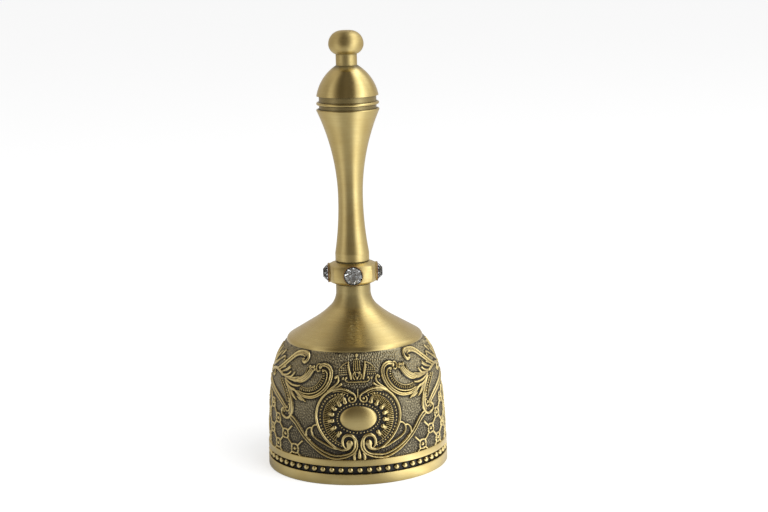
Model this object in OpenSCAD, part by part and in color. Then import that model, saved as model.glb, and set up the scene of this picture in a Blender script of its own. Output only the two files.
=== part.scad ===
// Hand bell: a cast skirt with a bead row and an oval boss, a flared crown,
// a collar set with four stones, a turned handle with a domed top and a ball,
// and a clapper that hangs from a swivel inside.
// Millimetres. The origin is the centre of the rim plane, +Z is up and the
// front of the bell faces -Y.

/* [Skirt] */
// Outer radius of the lip band at the rim
rim_r = 27.5; // [25:0.1:30]
// Height of the lip band
lip_h = 3.4; // [2.6:0.1:4.4]
// Height of the channel that holds the beads
channel_h = 2.25; // [2:0.05:2.8]
// Depth of the channel below the lip band
channel_depth = 0.95; // [0.6:0.05:1.1]
// Height of the upper band
belt_h = 1.95; // [1.4:0.05:2.8]
// How far the upper band lies inside the lip band
belt_step = 0.1; // [0:0.05:0.3]
// How far the ground of the carved field lies inside the upper band
field_step = 0.65; // [0.4:0.05:0.8]
// Radius of the long arc of the field, seen from the side
field_arc = 154; // [130:1:190]
// Turn of the long arc, degrees
field_turn = 6.9; // [5:0.1:7.5]
// Radius of the rounded shoulder above the long arc
shoulder_arc = 26.6; // [23:0.1:32]
// Height of the skirt casting
skirt_h = 38.6; // [36:0.1:42]
// Wall of the skirt under the carved field
skirt_wall = 1.75; // [1.4:0.05:2.2]
// Chamfer on the inner edge of the rim
rim_chamfer = 0.5; // [0.2:0.05:0.9]
// Rounding of the outer edge of the rim
rim_round = 0.35; // [0.15:0.05:0.6]

/* [Bead row and boss] */
// Diameter of one bead
bead_d = 1.75; // [1.4:0.05:1.85]
// Free space between two beads
bead_gap = 1.03; // [0.6:0.01:1.6]
// Width of the oval boss
boss_w = 11; // [9:0.1:12]
// Height of the oval boss
boss_h = 7.3; // [6:0.1:8]
// Height of the centre of the boss above the rim
boss_z = 20.1; // [18:0.1:22]
// How far the boss stands out of the ground of the field
boss_rise = 1; // [0.6:0.05:1.2]

/* [Joint between skirt and crown] */
// Width of the flat ring that carries the crown
seat_w = 1.9; // [1.5:0.05:2.3]
// Depth of the flange behind the seat
seat_depth = 2.4; // [2:0.05:3]
// Length of the spigot below the crown's edge
spigot_len = 1.7; // [1.2:0.05:1.9]
// Wall of the spigot
spigot_wall = 1.4; // [1:0.05:1.8]
// Radial clearance of the spigot in the skirt
spigot_fit = 0.05; // [0.03:0.01:0.1]

/* [Crown] */
// Radius of the crown's neck
neck_r = 5.25; // [4.8:0.05:5.8]
// Length of the straight neck
neck_len = 2.2; // [1.5:0.1:4]
// Radius of the hollow just below the neck
neck_arc = 6.4; // [5:0.1:7.5]
// Angle at which the hollow ends, from the vertical
neck_turn = 46; // [42:0.5:50]
// Radius of the long hollow of the flare
flare_arc = 30; // [24:0.5:36]
// Angle of the straight flare, from the vertical
flare_turn = 59.1; // [56:0.1:62]
// Rounding of the crown's lower edge
edge_round = 1.6; // [1:0.05:1.85]
// Wall of the crown
crown_wall = 1.7; // [1.4:0.05:2]
// Radius of the flat ceiling inside the crown
ceiling_r = 5.4; // [5:0.05:5.8]

/* [Collar and stones] */
// Height of the collar
collar_h = 7; // [6.6:0.1:8]
// Radius of the collar at its corners
collar_r = 8.97; // [8.6:0.05:9.6]
// Distance of the four flats from the axis
flat_dist = 7.45; // [7.2:0.05:7.8]
// Radius at which the collar's faces begin to slope
collar_face_r = 4.8; // [4.4:0.05:5.2]
// Slope of the collar's upper and lower faces, degrees
collar_slope = 18; // [12:1:20]
// Rounding between the sloped faces and the barrel
collar_round = 1.6; // [1:0.05:1.8]
// Diameter of a stone at its girdle
stone_d = 5.4; // [5:0.05:5.8]
// Radial clearance of a stone in its pocket
stone_fit = 0.05; // [0.03:0.01:0.1]
// Wall of the raised rim round each pocket
bezel_wall = 0.4; // [0.3:0.05:0.6]
// How far that rim stands out of the flat
bezel_rise = 0.2; // [0.1:0.05:0.3]
// Straight depth of a pocket below the flat
pocket_depth = 0.6; // [0.4:0.05:0.9]
// Radius of the stone's flat table
table_r = 1.35; // [1.1:0.05:1.6]
// Height of the stone's facets above its girdle
stone_crown_h = 1.3; // [1:0.05:1.5]
// Height of the girdle above the rim of the pocket
girdle_h = 0.15; // [0.1:0.05:0.3]
// Depth of the stone's cone behind the girdle
stone_cone_h = 2; // [1.6:0.05:2.3]

/* [Handle] */
// Length of the handle
handle_len = 46.2; // [40:0.1:56]
// Radius of the handle's foot
foot_r = 5.15; // [4.7:0.05:5.6]
// Height of the handle's waist above its foot
waist_z = 19.2; // [16:0.1:22]
// Radius of the waist
waist_r = 3.74; // [3.4:0.01:4.3]
// Radius of the long hollow below the waist
handle_low_arc = 100; // [90:1:120]
// Radius of the handle's upper end
handle_top_r = 9.45; // [9:0.05:9.8]
// Rounding of the handle's edges
handle_round = 0.35; // [0.2:0.05:0.6]

/* [Dome and ball] */
// Height of the grooved spool below the dome
spool_h = 3.9; // [3.2:0.1:5]
// Depth of the grooves below the handle's upper edge
groove_depth = 0.85; // [0.6:0.05:1.2]
// How far the thin bead between the grooves lies inside that edge
spool_bead_step = 0.05; // [0:0.05:0.3]
// Thickness of that bead
spool_bead_h = 0.95; // [0.6:0.05:1.3]
// Height of the middle of the bead above the handle
spool_bead_z = 1.65; // [1.4:0.05:2]
// How far the dome's lower edge lies inside the handle's upper edge
dome_step = 0.15; // [0:0.05:0.4]
// Radius of the dome's pointed arch, seen from the side
dome_arc = 13.36; // [12.5:0.01:14.5]
// Angle at which the arch begins, degrees
dome_start = 10.2; // [5:0.1:15]
// Radius of the neck under the ball
ball_neck_r = 3.17; // [2.8:0.01:3.4]
// Length of the neck under the ball
ball_neck_len = 3.25; // [2.5:0.05:4.5]
// Largest radius of the ball
ball_r = 5.27; // [4.8:0.01:5.8]
// Radius of the ball's upper arc
ball_top_arc = 4; // [3.4:0.05:4.3]
// Radius of the ball's lower arc
ball_low_arc = 3.25; // [2.9:0.05:3.6]

/* [Rod and fasteners] */
// Diameter of the threaded rod
rod_d = 4; // [3:0.5:4]
// Radial clearance of the rod in the parts that it passes
rod_clear = 0.1; // [0.05:0.01:0.3]
// Radial clearance between a thread and its nut
thread_fit = 0.05; // [0.03:0.01:0.1]
// Metal left in the dome between the rod's hole and the stud's hole
dome_web = 0.9; // [0.6:0.1:2]
// Play left at the end of a blind hole
hole_play = 0.3; // [0.2:0.05:0.5]
// Diameter of the stud below the ball
stud_d = 3; // [2:0.5:3]
// Length of the stud below the ball
stud_len = 2.9; // [2:0.1:3]
// Diameter of the washer under the crown's ceiling
washer_d = 9; // [8.2:0.1:9.6]
// Thickness of the washer
washer_t = 0.8; // [0.5:0.1:1]
// Width across the flats of both nuts
nut_af = 7; // [6.5:0.1:7.4]
// Thickness of the clamping nut
clamp_nut_h = 2.2; // [1.8:0.1:2.6]

/* [Swivel] */
// Length of the nut that holds the swivel
swivel_nut_h = 5.4; // [5:0.1:6.4]
// Thickness of the lip under the swivel's head
lip_t = 1; // [0.8:0.05:1.3]
// Diameter of the swivel's stem
stem_d = 2.4; // [2:0.1:2.6]
// Radial clearance of the stem in the lip
stem_fit = 0.05; // [0.03:0.01:0.08]
// How far the head overlaps the edge of the lip's bore
head_grip = 0.5; // [0.35:0.05:0.55]
// Thickness of the head
head_t = 1; // [0.8:0.05:1.2]
// Free space between the head and the lip
head_play = 0.2; // [0.15:0.05:0.4]
// Free space between the head and the rod's end
head_room = 0.6; // [0.4:0.05:0.8]
// Free space between the nut and the eye
eye_drop = 0.3; // [0.2:0.05:0.8]
// Radius of the eye, to the middle of its wire
eye_r = 2.3; // [2.2:0.05:2.8]
// Radius of the eye's wire
eye_wire = 0.75; // [0.6:0.05:0.8]

/* [Clapper] */
// Radius of the shank's loop, to the middle of its wire
loop_r = 2.1; // [2:0.05:2.5]
// Radius of the loop's wire
loop_wire = 0.65; // [0.55:0.05:0.7]
// Free space between the loop and the eye
loop_gap = 0.15; // [0.1:0.01:0.2]
// Diameter of the shank
shank_d = 2.2; // [1.8:0.1:2.6]
// Distance from the swing axis to the middle of the ball
shank_len = 25; // [22:0.1:25.5]
// Radius of the clapper ball
clapper_r = 6; // [5:0.1:6.2]
// Radial clearance of the shank in the ball
shank_fit = 0.05; // [0.03:0.01:0.1]
// Width of the flat under the ball that seats its nut
clapper_flat_r = 1.9; // [1.7:0.05:2.2]
// Thickness of the round nut under the ball
tip_h = 0.9; // [0.7:0.05:1.1]
// Radius of that nut
tip_r = 1.75; // [1.6:0.05:1.8]

/* [Hidden] */
$fn = 96;
eps = 0.05;

// Skirt: levels, and the two arcs of the carved field
channel_z = lip_h;
belt_z = channel_z + channel_h;
field_z = belt_z + belt_h;
belt_r = rim_r - belt_step;
field_r = belt_r - field_step;
channel_r = rim_r - channel_depth;
field_c = field_r - field_arc;
edge_turn = asin(sin(field_turn)
    + (skirt_h - field_z - field_arc * sin(field_turn)) / shoulder_arc);
shoulder_c = field_c + (field_arc - shoulder_arc) * cos(field_turn);
shoulder_z = field_z + (field_arc - shoulder_arc) * sin(field_turn);
edge_r = shoulder_c + shoulder_arc * cos(edge_turn);
seat_bore = edge_r - seat_w;
flange_z = skirt_h - seat_depth;
inner_r = field_r - skirt_wall;
inner_turn = asin((flange_z - shoulder_z) / (shoulder_arc - skirt_wall));

// Beads sit in the channel with their tops just inside the lip band
bead_top_gap = 0.02;
bead_ring_r = rim_r - bead_top_gap - bead_d / 2;
bead_count = round(360 / (2 * asin((bead_d + bead_gap) / 2 / bead_ring_r)));

// The boss is the outer half of an oval ball whose middle lies below the ground,
// where the field's radius is boss_ground
boss_ground = field_c + sqrt(pow(field_arc, 2) - pow(boss_z - field_z, 2));
boss_sink = 0.75;

// Crown: the arcs from the neck down to the edge
neck_step = neck_arc * (1 - cos(neck_turn));
flare_step = flare_arc * (cos(neck_turn) - cos(flare_turn));
edge_step = edge_round * (1 - cos(flare_turn));
flare_len = (edge_r - neck_r - neck_step - flare_step - edge_step) / sin(flare_turn);
flare_end_z = skirt_h + edge_round * sin(flare_turn);
flare_top_z = flare_end_z + flare_len * cos(flare_turn);
hollow_z = flare_top_z + flare_arc * (sin(flare_turn) - sin(neck_turn));
neck_z = hollow_z + neck_arc * sin(neck_turn);
collar_z = neck_z + neck_len;
flare_cr = neck_r + neck_step + flare_arc * cos(neck_turn);
flare_cz = hollow_z + flare_arc * sin(neck_turn);
inner_arc = flare_arc + crown_wall;
ceiling_turn = acos((flare_cr - ceiling_r) / inner_arc);
ceiling_z = flare_cz - inner_arc * sin(ceiling_turn);
spigot_r = seat_bore - spigot_fit;
spigot_in = spigot_r - spigot_wall;
flare_in_r = flare_cr - inner_arc * cos(flare_turn);
flare_in_z = flare_cz - inner_arc * sin(flare_turn);
spigot_in_z = flare_in_z - (spigot_in - flare_in_r) / tan(flare_turn);

// Collar
stone_z = collar_z + collar_h / 2;
handle_z = collar_z + collar_h;
pocket_r = stone_d / 2 + stone_fit;
bezel_r = pocket_r + bezel_wall;
bezel_face = flat_dist + bezel_rise;
pocket_floor = flat_dist - pocket_depth;
girdle_y = bezel_face + girdle_h;

// Handle, spool, dome and ball
high_rise = handle_len - handle_round - waist_z;
high_step = handle_top_r - waist_r;
handle_high_arc = (pow(high_rise, 2) + pow(high_step, 2)) / (2 * high_step);
spool_z = handle_z + handle_len;
spool_r = handle_top_r - groove_depth;
spool_bead_r = handle_top_r - spool_bead_step;
dome_z = spool_z + spool_h;
dome_r = handle_top_r - dome_step;
dome_cr = dome_r - dome_arc * cos(dome_start);
dome_cz = dome_z - dome_arc * sin(dome_start);
dome_end = acos((ball_neck_r - dome_cr) / dome_arc);
ball_neck_z = dome_cz + dome_arc * sin(dome_end);
ball_foot_z = ball_neck_z + ball_neck_len;
ball_low_turn = acos((ball_neck_r - ball_r + ball_low_arc) / ball_low_arc);
ball_mid_z = ball_foot_z + ball_low_arc * sin(ball_low_turn);

// Rod and nuts
rod_r = rod_d / 2;
pass_r = rod_r + rod_clear;
thread_r = rod_r + thread_fit;
washer_z = ceiling_z - washer_t;
clamp_nut_z = washer_z - clamp_nut_h;
swivel_nut_z = clamp_nut_z - swivel_nut_h;
lip_z = swivel_nut_z + lip_t;
head_z = lip_z + head_play;
rod_low_z = head_z + head_t + head_room;
stud_hole_z = ball_neck_z - stud_len - hole_play;
rod_top_z = stud_hole_z - dome_web - hole_play;

// Swivel and clapper
stem_r = stem_d / 2;
head_r = stem_r + stem_fit + head_grip;
eye_z = swivel_nut_z - eye_drop - eye_wire - eye_r;
pivot_z = eye_z - eye_r;
loop_z = pivot_z + eye_wire + loop_gap + loop_wire - loop_r;
shank_r = shank_d / 2;
clapper_z = pivot_z - shank_len;
tip_face_z = clapper_z - sqrt(pow(clapper_r, 2) - pow(clapper_flat_r, 2));

brass = "#b9a367";
dark_brass = "#7d6a3c";
steel = "#b8b8b4";
glass = "#dfe6ea";

// Points of an arc: centre, radius, first and last angle, number of steps
function arc(cr, cz, r, a0, a1, n) =
    [for (i = [0:n]) let (a = a0 + (a1 - a0) * i / n) [cr + r * cos(a), cz + r * sin(a)]];

// A solid of revolution from a half section of [radius, height] points
module lathe(points) rotate_extrude() polygon(points);

// A plain hole down the axis
module axial_bore(r, z0, z1) translate([0, 0, z0]) cylinder(h = z1 - z0, r = r);

module bell_body() {
    outside = concat(
        arc(rim_r - rim_round, rim_round, rim_round, -90, 0, 4),
        [[rim_r, channel_z], [channel_r, channel_z], [channel_r, belt_z], [belt_r, belt_z]],
        [[belt_r, field_z]],
        arc(field_c, field_z, field_arc, 0, field_turn, 5),
        arc(shoulder_c, shoulder_z, shoulder_arc, field_turn, edge_turn, 10)
    );
    inside = concat(
        [[seat_bore, skirt_h], [seat_bore, flange_z]],
        arc(shoulder_c, shoulder_z, shoulder_arc - skirt_wall, inner_turn, field_turn, 8),
        arc(field_c, field_z, field_arc - skirt_wall, field_turn, 0, 5),
        [[inner_r, rim_chamfer], [inner_r + rim_chamfer, 0]]
    );
    color(brass) union() {
        lathe(concat(outside, inside));
        for (i = [0:bead_count - 1]) rotate([0, 0, i * 360 / bead_count - 90])
            translate([bead_ring_r, 0, channel_z + channel_h / 2]) sphere(d = bead_d, $fn = 24);
        for (turn = [0, 180]) rotate([0, 0, turn])
            translate([0, boss_sink - boss_ground, boss_z])
                scale([boss_w / 2, boss_rise + boss_sink, boss_h / 2])
                    intersection() {
                        sphere(r = 1, $fn = 48);
                        translate([-1, -1, -1]) cube([2, 1, 2]);
                    }
    }
}

module crown_shell() {
    outside = concat(
        [[neck_r, collar_z]],
        arc(neck_r + neck_arc, neck_z, neck_arc, 180, 180 + neck_turn, 12),
        arc(flare_cr, flare_cz, flare_arc, 180 + neck_turn, 180 + flare_turn, 6),
        arc(edge_r - edge_round, skirt_h, edge_round, flare_turn, 0, 8)
    );
    inside = concat(
        [[spigot_r, skirt_h], [spigot_r, skirt_h - spigot_len], [spigot_in, skirt_h - spigot_len]],
        [[spigot_in, spigot_in_z]],
        arc(flare_cr, flare_cz, inner_arc, 180 + flare_turn, 180 + ceiling_turn, 6),
        [[pass_r, ceiling_z], [pass_r, collar_z]]
    );
    color(brass) lathe(concat(outside, inside));
}

module stone_collar() {
    round_r = collar_r - collar_round;
    slope_z = collar_h / 2 - (round_r + collar_round * sin(collar_slope) - collar_face_r)
        * tan(collar_slope) - collar_round * cos(collar_slope);
    color(brass) difference() {
        union() {
            intersection() {
                translate([0, 0, stone_z]) lathe(concat(
                    [[pass_r, collar_h / 2], [collar_face_r, collar_h / 2]],
                    arc(round_r, slope_z, collar_round, 90 - collar_slope, 0, 6),
                    arc(round_r, -slope_z, collar_round, 0, collar_slope - 90, 6),
                    [[collar_face_r, -collar_h / 2], [pass_r, -collar_h / 2]]
                ));
                translate([-flat_dist, -flat_dist, collar_z])
                    cube([2 * flat_dist, 2 * flat_dist, collar_h]);
            }
            for (az = [0:90:270]) rotate([0, 0, az]) translate([0, 0, stone_z]) rotate([90, 0, 0])
                translate([0, 0, pocket_floor]) cylinder(h = bezel_face - pocket_floor, r = bezel_r);
        }
        for (az = [0:90:270]) rotate([0, 0, az]) translate([0, 0, stone_z]) rotate([90, 0, 0]) {
            translate([0, 0, pocket_floor]) cylinder(h = bezel_face - pocket_floor + eps, r = pocket_r);
            translate([0, 0, pocket_floor - stone_cone_h])
                cylinder(h = stone_cone_h + eps, r1 = eps, r2 = pocket_r);
        }
    }
}

// A cut stone in the flat that faces the given turn from the front
module stone(turn) {
    girdle_r = stone_d / 2;
    color(glass) rotate([0, 0, turn]) translate([0, 0, stone_z]) rotate([90, 0, 0]) lathe([
        [0, girdle_y + stone_crown_h], [table_r, girdle_y + stone_crown_h],
        [girdle_r, girdle_y], [girdle_r, pocket_floor + stone_fit],
        [0, pocket_floor + stone_fit - stone_cone_h]
    ]);
}

module stone_front() stone(0);
module stone_right() stone(90);
module stone_back() stone(180);
module stone_left() stone(270);

module handle_shaft() {
    foot_turn = acos(1 - (foot_r - waist_r) / handle_low_arc);
    top_turn = asin(high_rise / handle_high_arc);
    color(brass) translate([0, 0, handle_z]) lathe(concat(
        [[pass_r, 0]],
        arc(foot_r - handle_round, handle_round, handle_round, -90, 0, 4),
        arc(waist_r + handle_low_arc, waist_z, handle_low_arc, 180 + foot_turn, 180, 8),
        arc(waist_r + handle_high_arc, waist_z, handle_high_arc, 180, 180 - top_turn, 16),
        arc(handle_top_r - handle_round, handle_len - handle_round, handle_round, 0, 90, 4),
        [[pass_r, handle_len]]
    ));
}

module spool_ring() {
    bead_half = spool_bead_h / 2;
    nose = min(bead_half, spool_bead_r - spool_r);
    color(dark_brass) translate([0, 0, spool_z]) lathe(concat(
        [[pass_r, 0], [spool_r, 0], [spool_r, spool_bead_z - bead_half]],
        arc(spool_bead_r - nose, spool_bead_z, nose, -90, 90, 8),
        [[spool_r, spool_bead_z + bead_half], [spool_r, spool_h], [pass_r, spool_h]]
    ));
}

module dome_cap() {
    stud_bore = stud_d / 2 + thread_fit;
    color(brass) lathe(concat(
        [[thread_r, dome_z]],
        arc(dome_cr, dome_cz, dome_arc, dome_start, dome_end, 16),
        [[stud_bore, ball_neck_z], [stud_bore, stud_hole_z], [0, stud_hole_z]],
        [[0, rod_top_z + hole_play], [thread_r, rod_top_z + hole_play]]
    ));
}

module finial_knob() {
    cap_r = ball_r - ball_top_arc;
    color(brass) lathe(concat(
        [[0, ball_neck_z - stud_len], [stud_d / 2, ball_neck_z - stud_len]],
        [[stud_d / 2, ball_neck_z], [ball_neck_r, ball_neck_z]],
        arc(ball_r - ball_low_arc, ball_mid_z, ball_low_arc, -ball_low_turn, 0, 10),
        arc(cap_r, ball_mid_z, ball_top_arc, 0, 90, 14),
        [[0, ball_mid_z + ball_top_arc]]
    ));
}

module tie_rod() {
    color(steel) axial_bore(rod_r, rod_low_z, rod_top_z);
}

module clamp_washer() {
    color(steel) difference() {
        translate([0, 0, washer_z]) cylinder(h = washer_t, d = washer_d);
        axial_bore(pass_r, washer_z - eps, ceiling_z + eps);
    }
}

// A hexagon bar of the nuts' size, standing on the given height
module hex_bar(z, h) translate([0, 0, z]) cylinder(h = h, d = nut_af / cos(30), $fn = 6);

module clamp_nut() {
    color(steel) difference() {
        hex_bar(clamp_nut_z, clamp_nut_h);
        axial_bore(thread_r, clamp_nut_z - eps, washer_z + eps);
    }
}

module swivel_nut() {
    color(steel) difference() {
        hex_bar(swivel_nut_z, swivel_nut_h);
        axial_bore(thread_r, lip_z, clamp_nut_z + eps);
        axial_bore(stem_r + stem_fit, swivel_nut_z - eps, lip_z + eps);
    }
}

module swivel_eye() {
    color(steel) union() {
        axial_bore(head_r, head_z, head_z + head_t);
        axial_bore(stem_r, eye_z + eye_r, head_z + eps);
        translate([0, 0, eye_z]) rotate([90, 0, 0]) rotate_extrude()
            translate([eye_r, 0]) circle(r = eye_wire, $fn = 32);
    }
}

module clapper_shank() {
    color(dark_brass) union() {
        translate([0, 0, loop_z]) rotate([0, 90, 0]) rotate_extrude()
            translate([loop_r, 0]) circle(r = loop_wire, $fn = 32);
        axial_bore(shank_r, tip_face_z - tip_h, loop_z - loop_r + loop_wire / 2);
    }
}

module clapper_ball() {
    color(dark_brass) difference() {
        translate([0, 0, clapper_z]) sphere(r = clapper_r);
        axial_bore(shank_r + shank_fit, clapper_z - clapper_r - eps, clapper_z + clapper_r + eps);
        translate([-clapper_r, -clapper_r, tip_face_z - clapper_r])
            cube([2 * clapper_r, 2 * clapper_r, clapper_r]);
    }
}

module clapper_tip() {
    color(steel) difference() {
        axial_bore(tip_r, tip_face_z - tip_h, tip_face_z);
        axial_bore(shank_r + shank_fit, tip_face_z - tip_h - eps, tip_face_z + eps);
    }
}

bell_body();
crown_shell();
stone_collar();
stone_front();
stone_right();
stone_back();
stone_left();
handle_shaft();
spool_ring();
dome_cap();
finial_knob();
tie_rod();
clamp_washer();
clamp_nut();
swivel_nut();
swivel_eye();
clapper_shank();
clapper_ball();
clapper_tip();
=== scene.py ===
# %% [markdown]
# # A hand bell in antique brass
# The bell is a cast skirt with a deep rococo relief, a turned crown, a collar with four cut-glass stones,
# and a turned handle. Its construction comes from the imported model, already at its real size. This lesson
# gives every surface its finish and carves the relief, which is too fine for a construction model.

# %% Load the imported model
import math

import bmesh
import bpy
import numpy as np
from mathutils import Matrix, Vector


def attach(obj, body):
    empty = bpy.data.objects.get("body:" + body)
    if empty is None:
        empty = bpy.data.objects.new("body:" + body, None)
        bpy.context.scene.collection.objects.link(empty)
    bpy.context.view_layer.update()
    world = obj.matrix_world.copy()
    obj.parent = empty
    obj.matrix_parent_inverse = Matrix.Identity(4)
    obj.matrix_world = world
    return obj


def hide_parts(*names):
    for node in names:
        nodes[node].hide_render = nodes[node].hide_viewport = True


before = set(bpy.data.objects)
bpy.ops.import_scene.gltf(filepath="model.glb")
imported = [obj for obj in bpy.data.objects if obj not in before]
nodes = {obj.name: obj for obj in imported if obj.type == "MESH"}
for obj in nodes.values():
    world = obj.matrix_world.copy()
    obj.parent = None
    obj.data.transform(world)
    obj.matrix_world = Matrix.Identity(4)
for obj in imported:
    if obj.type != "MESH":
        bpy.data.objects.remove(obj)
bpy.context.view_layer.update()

MM = 0.001

# %% [markdown]
# ## Camera
# The picture was taken with a short telephoto from about ten bell heights away. It looks down a little, and
# the bell stands left of the middle. A frame of 768 by 512 with a 36 mm wide sensor gives the lens its
# scale. The camera walks round the bell by a small angle, because the bell itself is turned a little
# towards the right.

# %% Camera
LENS, SENSOR = 85.0, 36.0
STAND = Vector((9.6, -540.3, 163.5)) * MM          # from the middle of the rim
TURN, DOWN, ROLL = math.radians(-1.8), math.radians(10.5), math.radians(-1.55)

bpy.ops.object.select_all(action="DESELECT")
bpy.ops.object.camera_add()
camera = bpy.context.object
camera.name = "photo_camera"
camera.data.lens = LENS
camera.data.sensor_width = SENSOR
camera.matrix_world = (Matrix.Rotation(TURN, 4, "Z") @ Matrix.Translation(STAND)
                       @ Matrix.Rotation(math.pi / 2 - DOWN, 4, "X") @ Matrix.Rotation(ROLL, 4, "Z"))
bpy.context.scene.camera = camera
bpy.context.scene.view_settings.view_transform = "Standard"
print("camera stands at", [round(v, 3) for v in camera.matrix_world.translation])

# %% [markdown]
# ## Helpers for materials
# A colour is written as people write it, as an sRGB hex value, and turned to the linear numbers that the
# renderer adds up. One function adds a node with its settings and its links, so that a material reads from
# top to bottom.

# %% Helpers for materials
def linear(colour, alpha=1.0):
    """Turns an sRGB hex colour into linear red, green, blue and alpha."""
    parts = [int(colour[k:k + 2], 16) / 255 for k in (1, 3, 5)]
    return [c / 12.92 if c <= 0.04045 else ((c + 0.055) / 1.055) ** 2.4 for c in parts] + [alpha]


def add_node(tree, kind, inputs=None, **settings):
    """Adds a node. inputs maps a socket's name or number to a value, another node, or one of its outputs."""
    made = tree.nodes.new("ShaderNode" + kind)
    for key, value in settings.items():
        setattr(made, key, value)
    for socket, value in (inputs or {}).items():
        if isinstance(value, bpy.types.Node):
            value = next(output for output in value.outputs if output.enabled)
        if isinstance(value, bpy.types.NodeSocket):
            tree.links.new(value, made.inputs[socket])
        else:
            made.inputs[socket].default_value = value
    return made


def new_tree(name):
    """Starts a material and returns it with its empty node tree."""
    material = bpy.data.materials.new(name)
    material.use_nodes = True
    material.node_tree.nodes.clear()
    return material, material.node_tree


print("middle grey #808080 is", round(linear("#808080")[0], 3), "to the renderer")

# %% [markdown]
# ## Light
# The bell stood in a light tent: white behind it, a large softbox on the right, a weaker one on the left,
# and the dark room round the lens in front. Polished metal shows exactly that, so the tent is painted into
# the world as a band of brightness that runs from left to right. Only reflections and refractions see it.
# The camera sees the plain white backdrop, and everything matt gets an even level at which a colour renders
# about as it is written.

# %% The tent as a band of brightness
# degrees from the front, to the left and to the right, and the brightness there
TENT = [(-90, 0.38), (-80, 0.52), (-69, 0.82), (-58, 0.70), (-48, 0.40), (-39, 0.22), (-30, 0.13),
        (-18, 0.13), (-6, 0.17), (5, 0.15), (17, 0.16), (24, 0.33), (30, 0.95), (38, 1.4), (46, 1.8),
        (51, 2.5), (56, 2.4), (62, 1.6), (70, 1.4), (80, 1.0), (90, 0.74)]
TENT_PEAK = 2.5
ROOF = 0.3                             # how wide the strips stay where they run over the roof to the back
LEAN = 12                              # degrees by which the right softbox leans away over the roof
LEFT_FADE, FADE_FROM = 0.35, 0.3       # how fast the left softbox weakens upwards, and from which height on
BACKDROP, BACKDROP_RISE = 0.58, 0.08   # brightness of the white behind the bell, and its rise to the right
BACK_FROM, BACK_TO = 0.05, 0.55        # how far back a direction points where the backdrop begins, and is all
LEVEL = 0.57                           # the even light that everything matt gets
WHITE, DIM_TINT = "#ffffff", "#fff0e0"   # the dark room round the lens is a little warm
TINT_FROM, TINT_TO = 0.1, 1.2          # brightness up to which light has the tint, and from which it is white

print("tent:", len(TENT), "points of brightness, the brightest", TENT_PEAK)


# %% The tent in a direction
def tent_light(tree, direction):
    """Brightness and tint of the tent in a direction: strips in front and above, plain backdrop behind."""
    unit = add_node(tree, "VectorMath", {0: direction}, operation="NORMALIZE")
    parts = add_node(tree, "SeparateXYZ", {0: unit})
    forward = add_node(tree, "Math", {0: parts.outputs["Y"], 1: -1.0}, operation="MULTIPLY")
    in_front = add_node(tree, "Math", {0: forward, 1: 0.0}, operation="MAXIMUM")
    above = add_node(tree, "Math", {0: parts.outputs["Z"], 1: 0.0}, operation="MAXIMUM")
    depth = add_node(tree, "Math", {0: above, 1: ROOF, 2: in_front}, operation="MULTIPLY_ADD")
    angle = add_node(tree, "Math", {0: parts.outputs["X"], 1: depth}, operation="ARCTAN2")
    lean = add_node(tree, "Math", {0: 1.0, 1: in_front}, operation="SUBTRACT")
    lean = add_node(tree, "Math", {0: above, 1: lean}, operation="MULTIPLY")
    leant = add_node(tree, "Math", {0: lean, 1: -math.radians(LEAN), 2: angle}, operation="MULTIPLY_ADD")
    left = add_node(tree, "Math", {0: angle, 1: 0.0}, operation="MINIMUM")
    angle = add_node(tree, "Math", {0: leant, 1: left}, operation="MAXIMUM")
    along = add_node(tree, "Math", {0: angle, 1: 1 / math.pi, 2: 0.5}, operation="MULTIPLY_ADD")
    ramp = add_node(tree, "ValToRGB", {0: along})
    points = ramp.color_ramp.elements
    for k, (degrees, brightness) in enumerate(TENT):
        place = degrees / 180 + 0.5
        point = points[k] if k < 2 else points.new(place)
        point.position = place
        point.color = [brightness / TENT_PEAK] * 3 + [1]
    rise = add_node(tree, "Math", {0: above, 1: FADE_FROM}, operation="SUBTRACT")
    rise = add_node(tree, "Math", {0: rise, 1: left}, operation="MULTIPLY")
    peak = add_node(tree, "Math", {0: rise, 1: LEFT_FADE * TENT_PEAK, 2: TENT_PEAK}, operation="MULTIPLY_ADD")
    strips = add_node(tree, "Math", {0: ramp.outputs["Color"], 1: peak}, operation="MULTIPLY")
    plain = add_node(tree, "Math", {0: parts.outputs["X"], 1: BACKDROP_RISE, 2: BACKDROP},
                     operation="MULTIPLY_ADD")
    seen_by = add_node(tree, "LightPath")          # through clear glass the backdrop is white
    plain = add_node(tree, "Mix", {0: seen_by.outputs["Is Transmission Ray"], 2: plain, 3: 1.0})
    back = add_node(tree, "Math", {0: above, 1: -ROOF, 2: parts.outputs["Y"]}, operation="MULTIPLY_ADD")
    behind = add_node(tree, "MapRange", {"Value": back, "From Min": BACK_FROM, "From Max": BACK_TO},
                      interpolation_type="SMOOTHSTEP")
    both = add_node(tree, "Mix", {0: behind, 2: strips, 3: plain})
    bright = add_node(tree, "MapRange", {"Value": both, "From Min": TINT_FROM, "From Max": TINT_TO})
    tint = add_node(tree, "Mix", {0: bright, 6: linear(DIM_TINT), 7: linear(WHITE)}, data_type="RGBA")
    return both, tint


print("the right softbox leans away over the roof by", LEAN, "degrees")

# %% [markdown]
# ### The world
# One world holds three lights, and the kind of ray picks one. A mirrored ray gets the tent, a ray for matt
# surfaces the even light, and the camera the white backdrop. That way the metal has something to mirror and
# the picture still has a plain background.

# %% The world
def light_paths(tree):
    """The kinds of ray, and a value that is 1 for a ray that the bell has mirrored or let through."""
    seen_by = add_node(tree, "LightPath")
    in_metal = add_node(tree, "Math", {0: seen_by.outputs["Is Glossy Ray"],
                                       1: seen_by.outputs["Is Transmission Ray"]}, operation="MAXIMUM")
    return seen_by, in_metal


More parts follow.
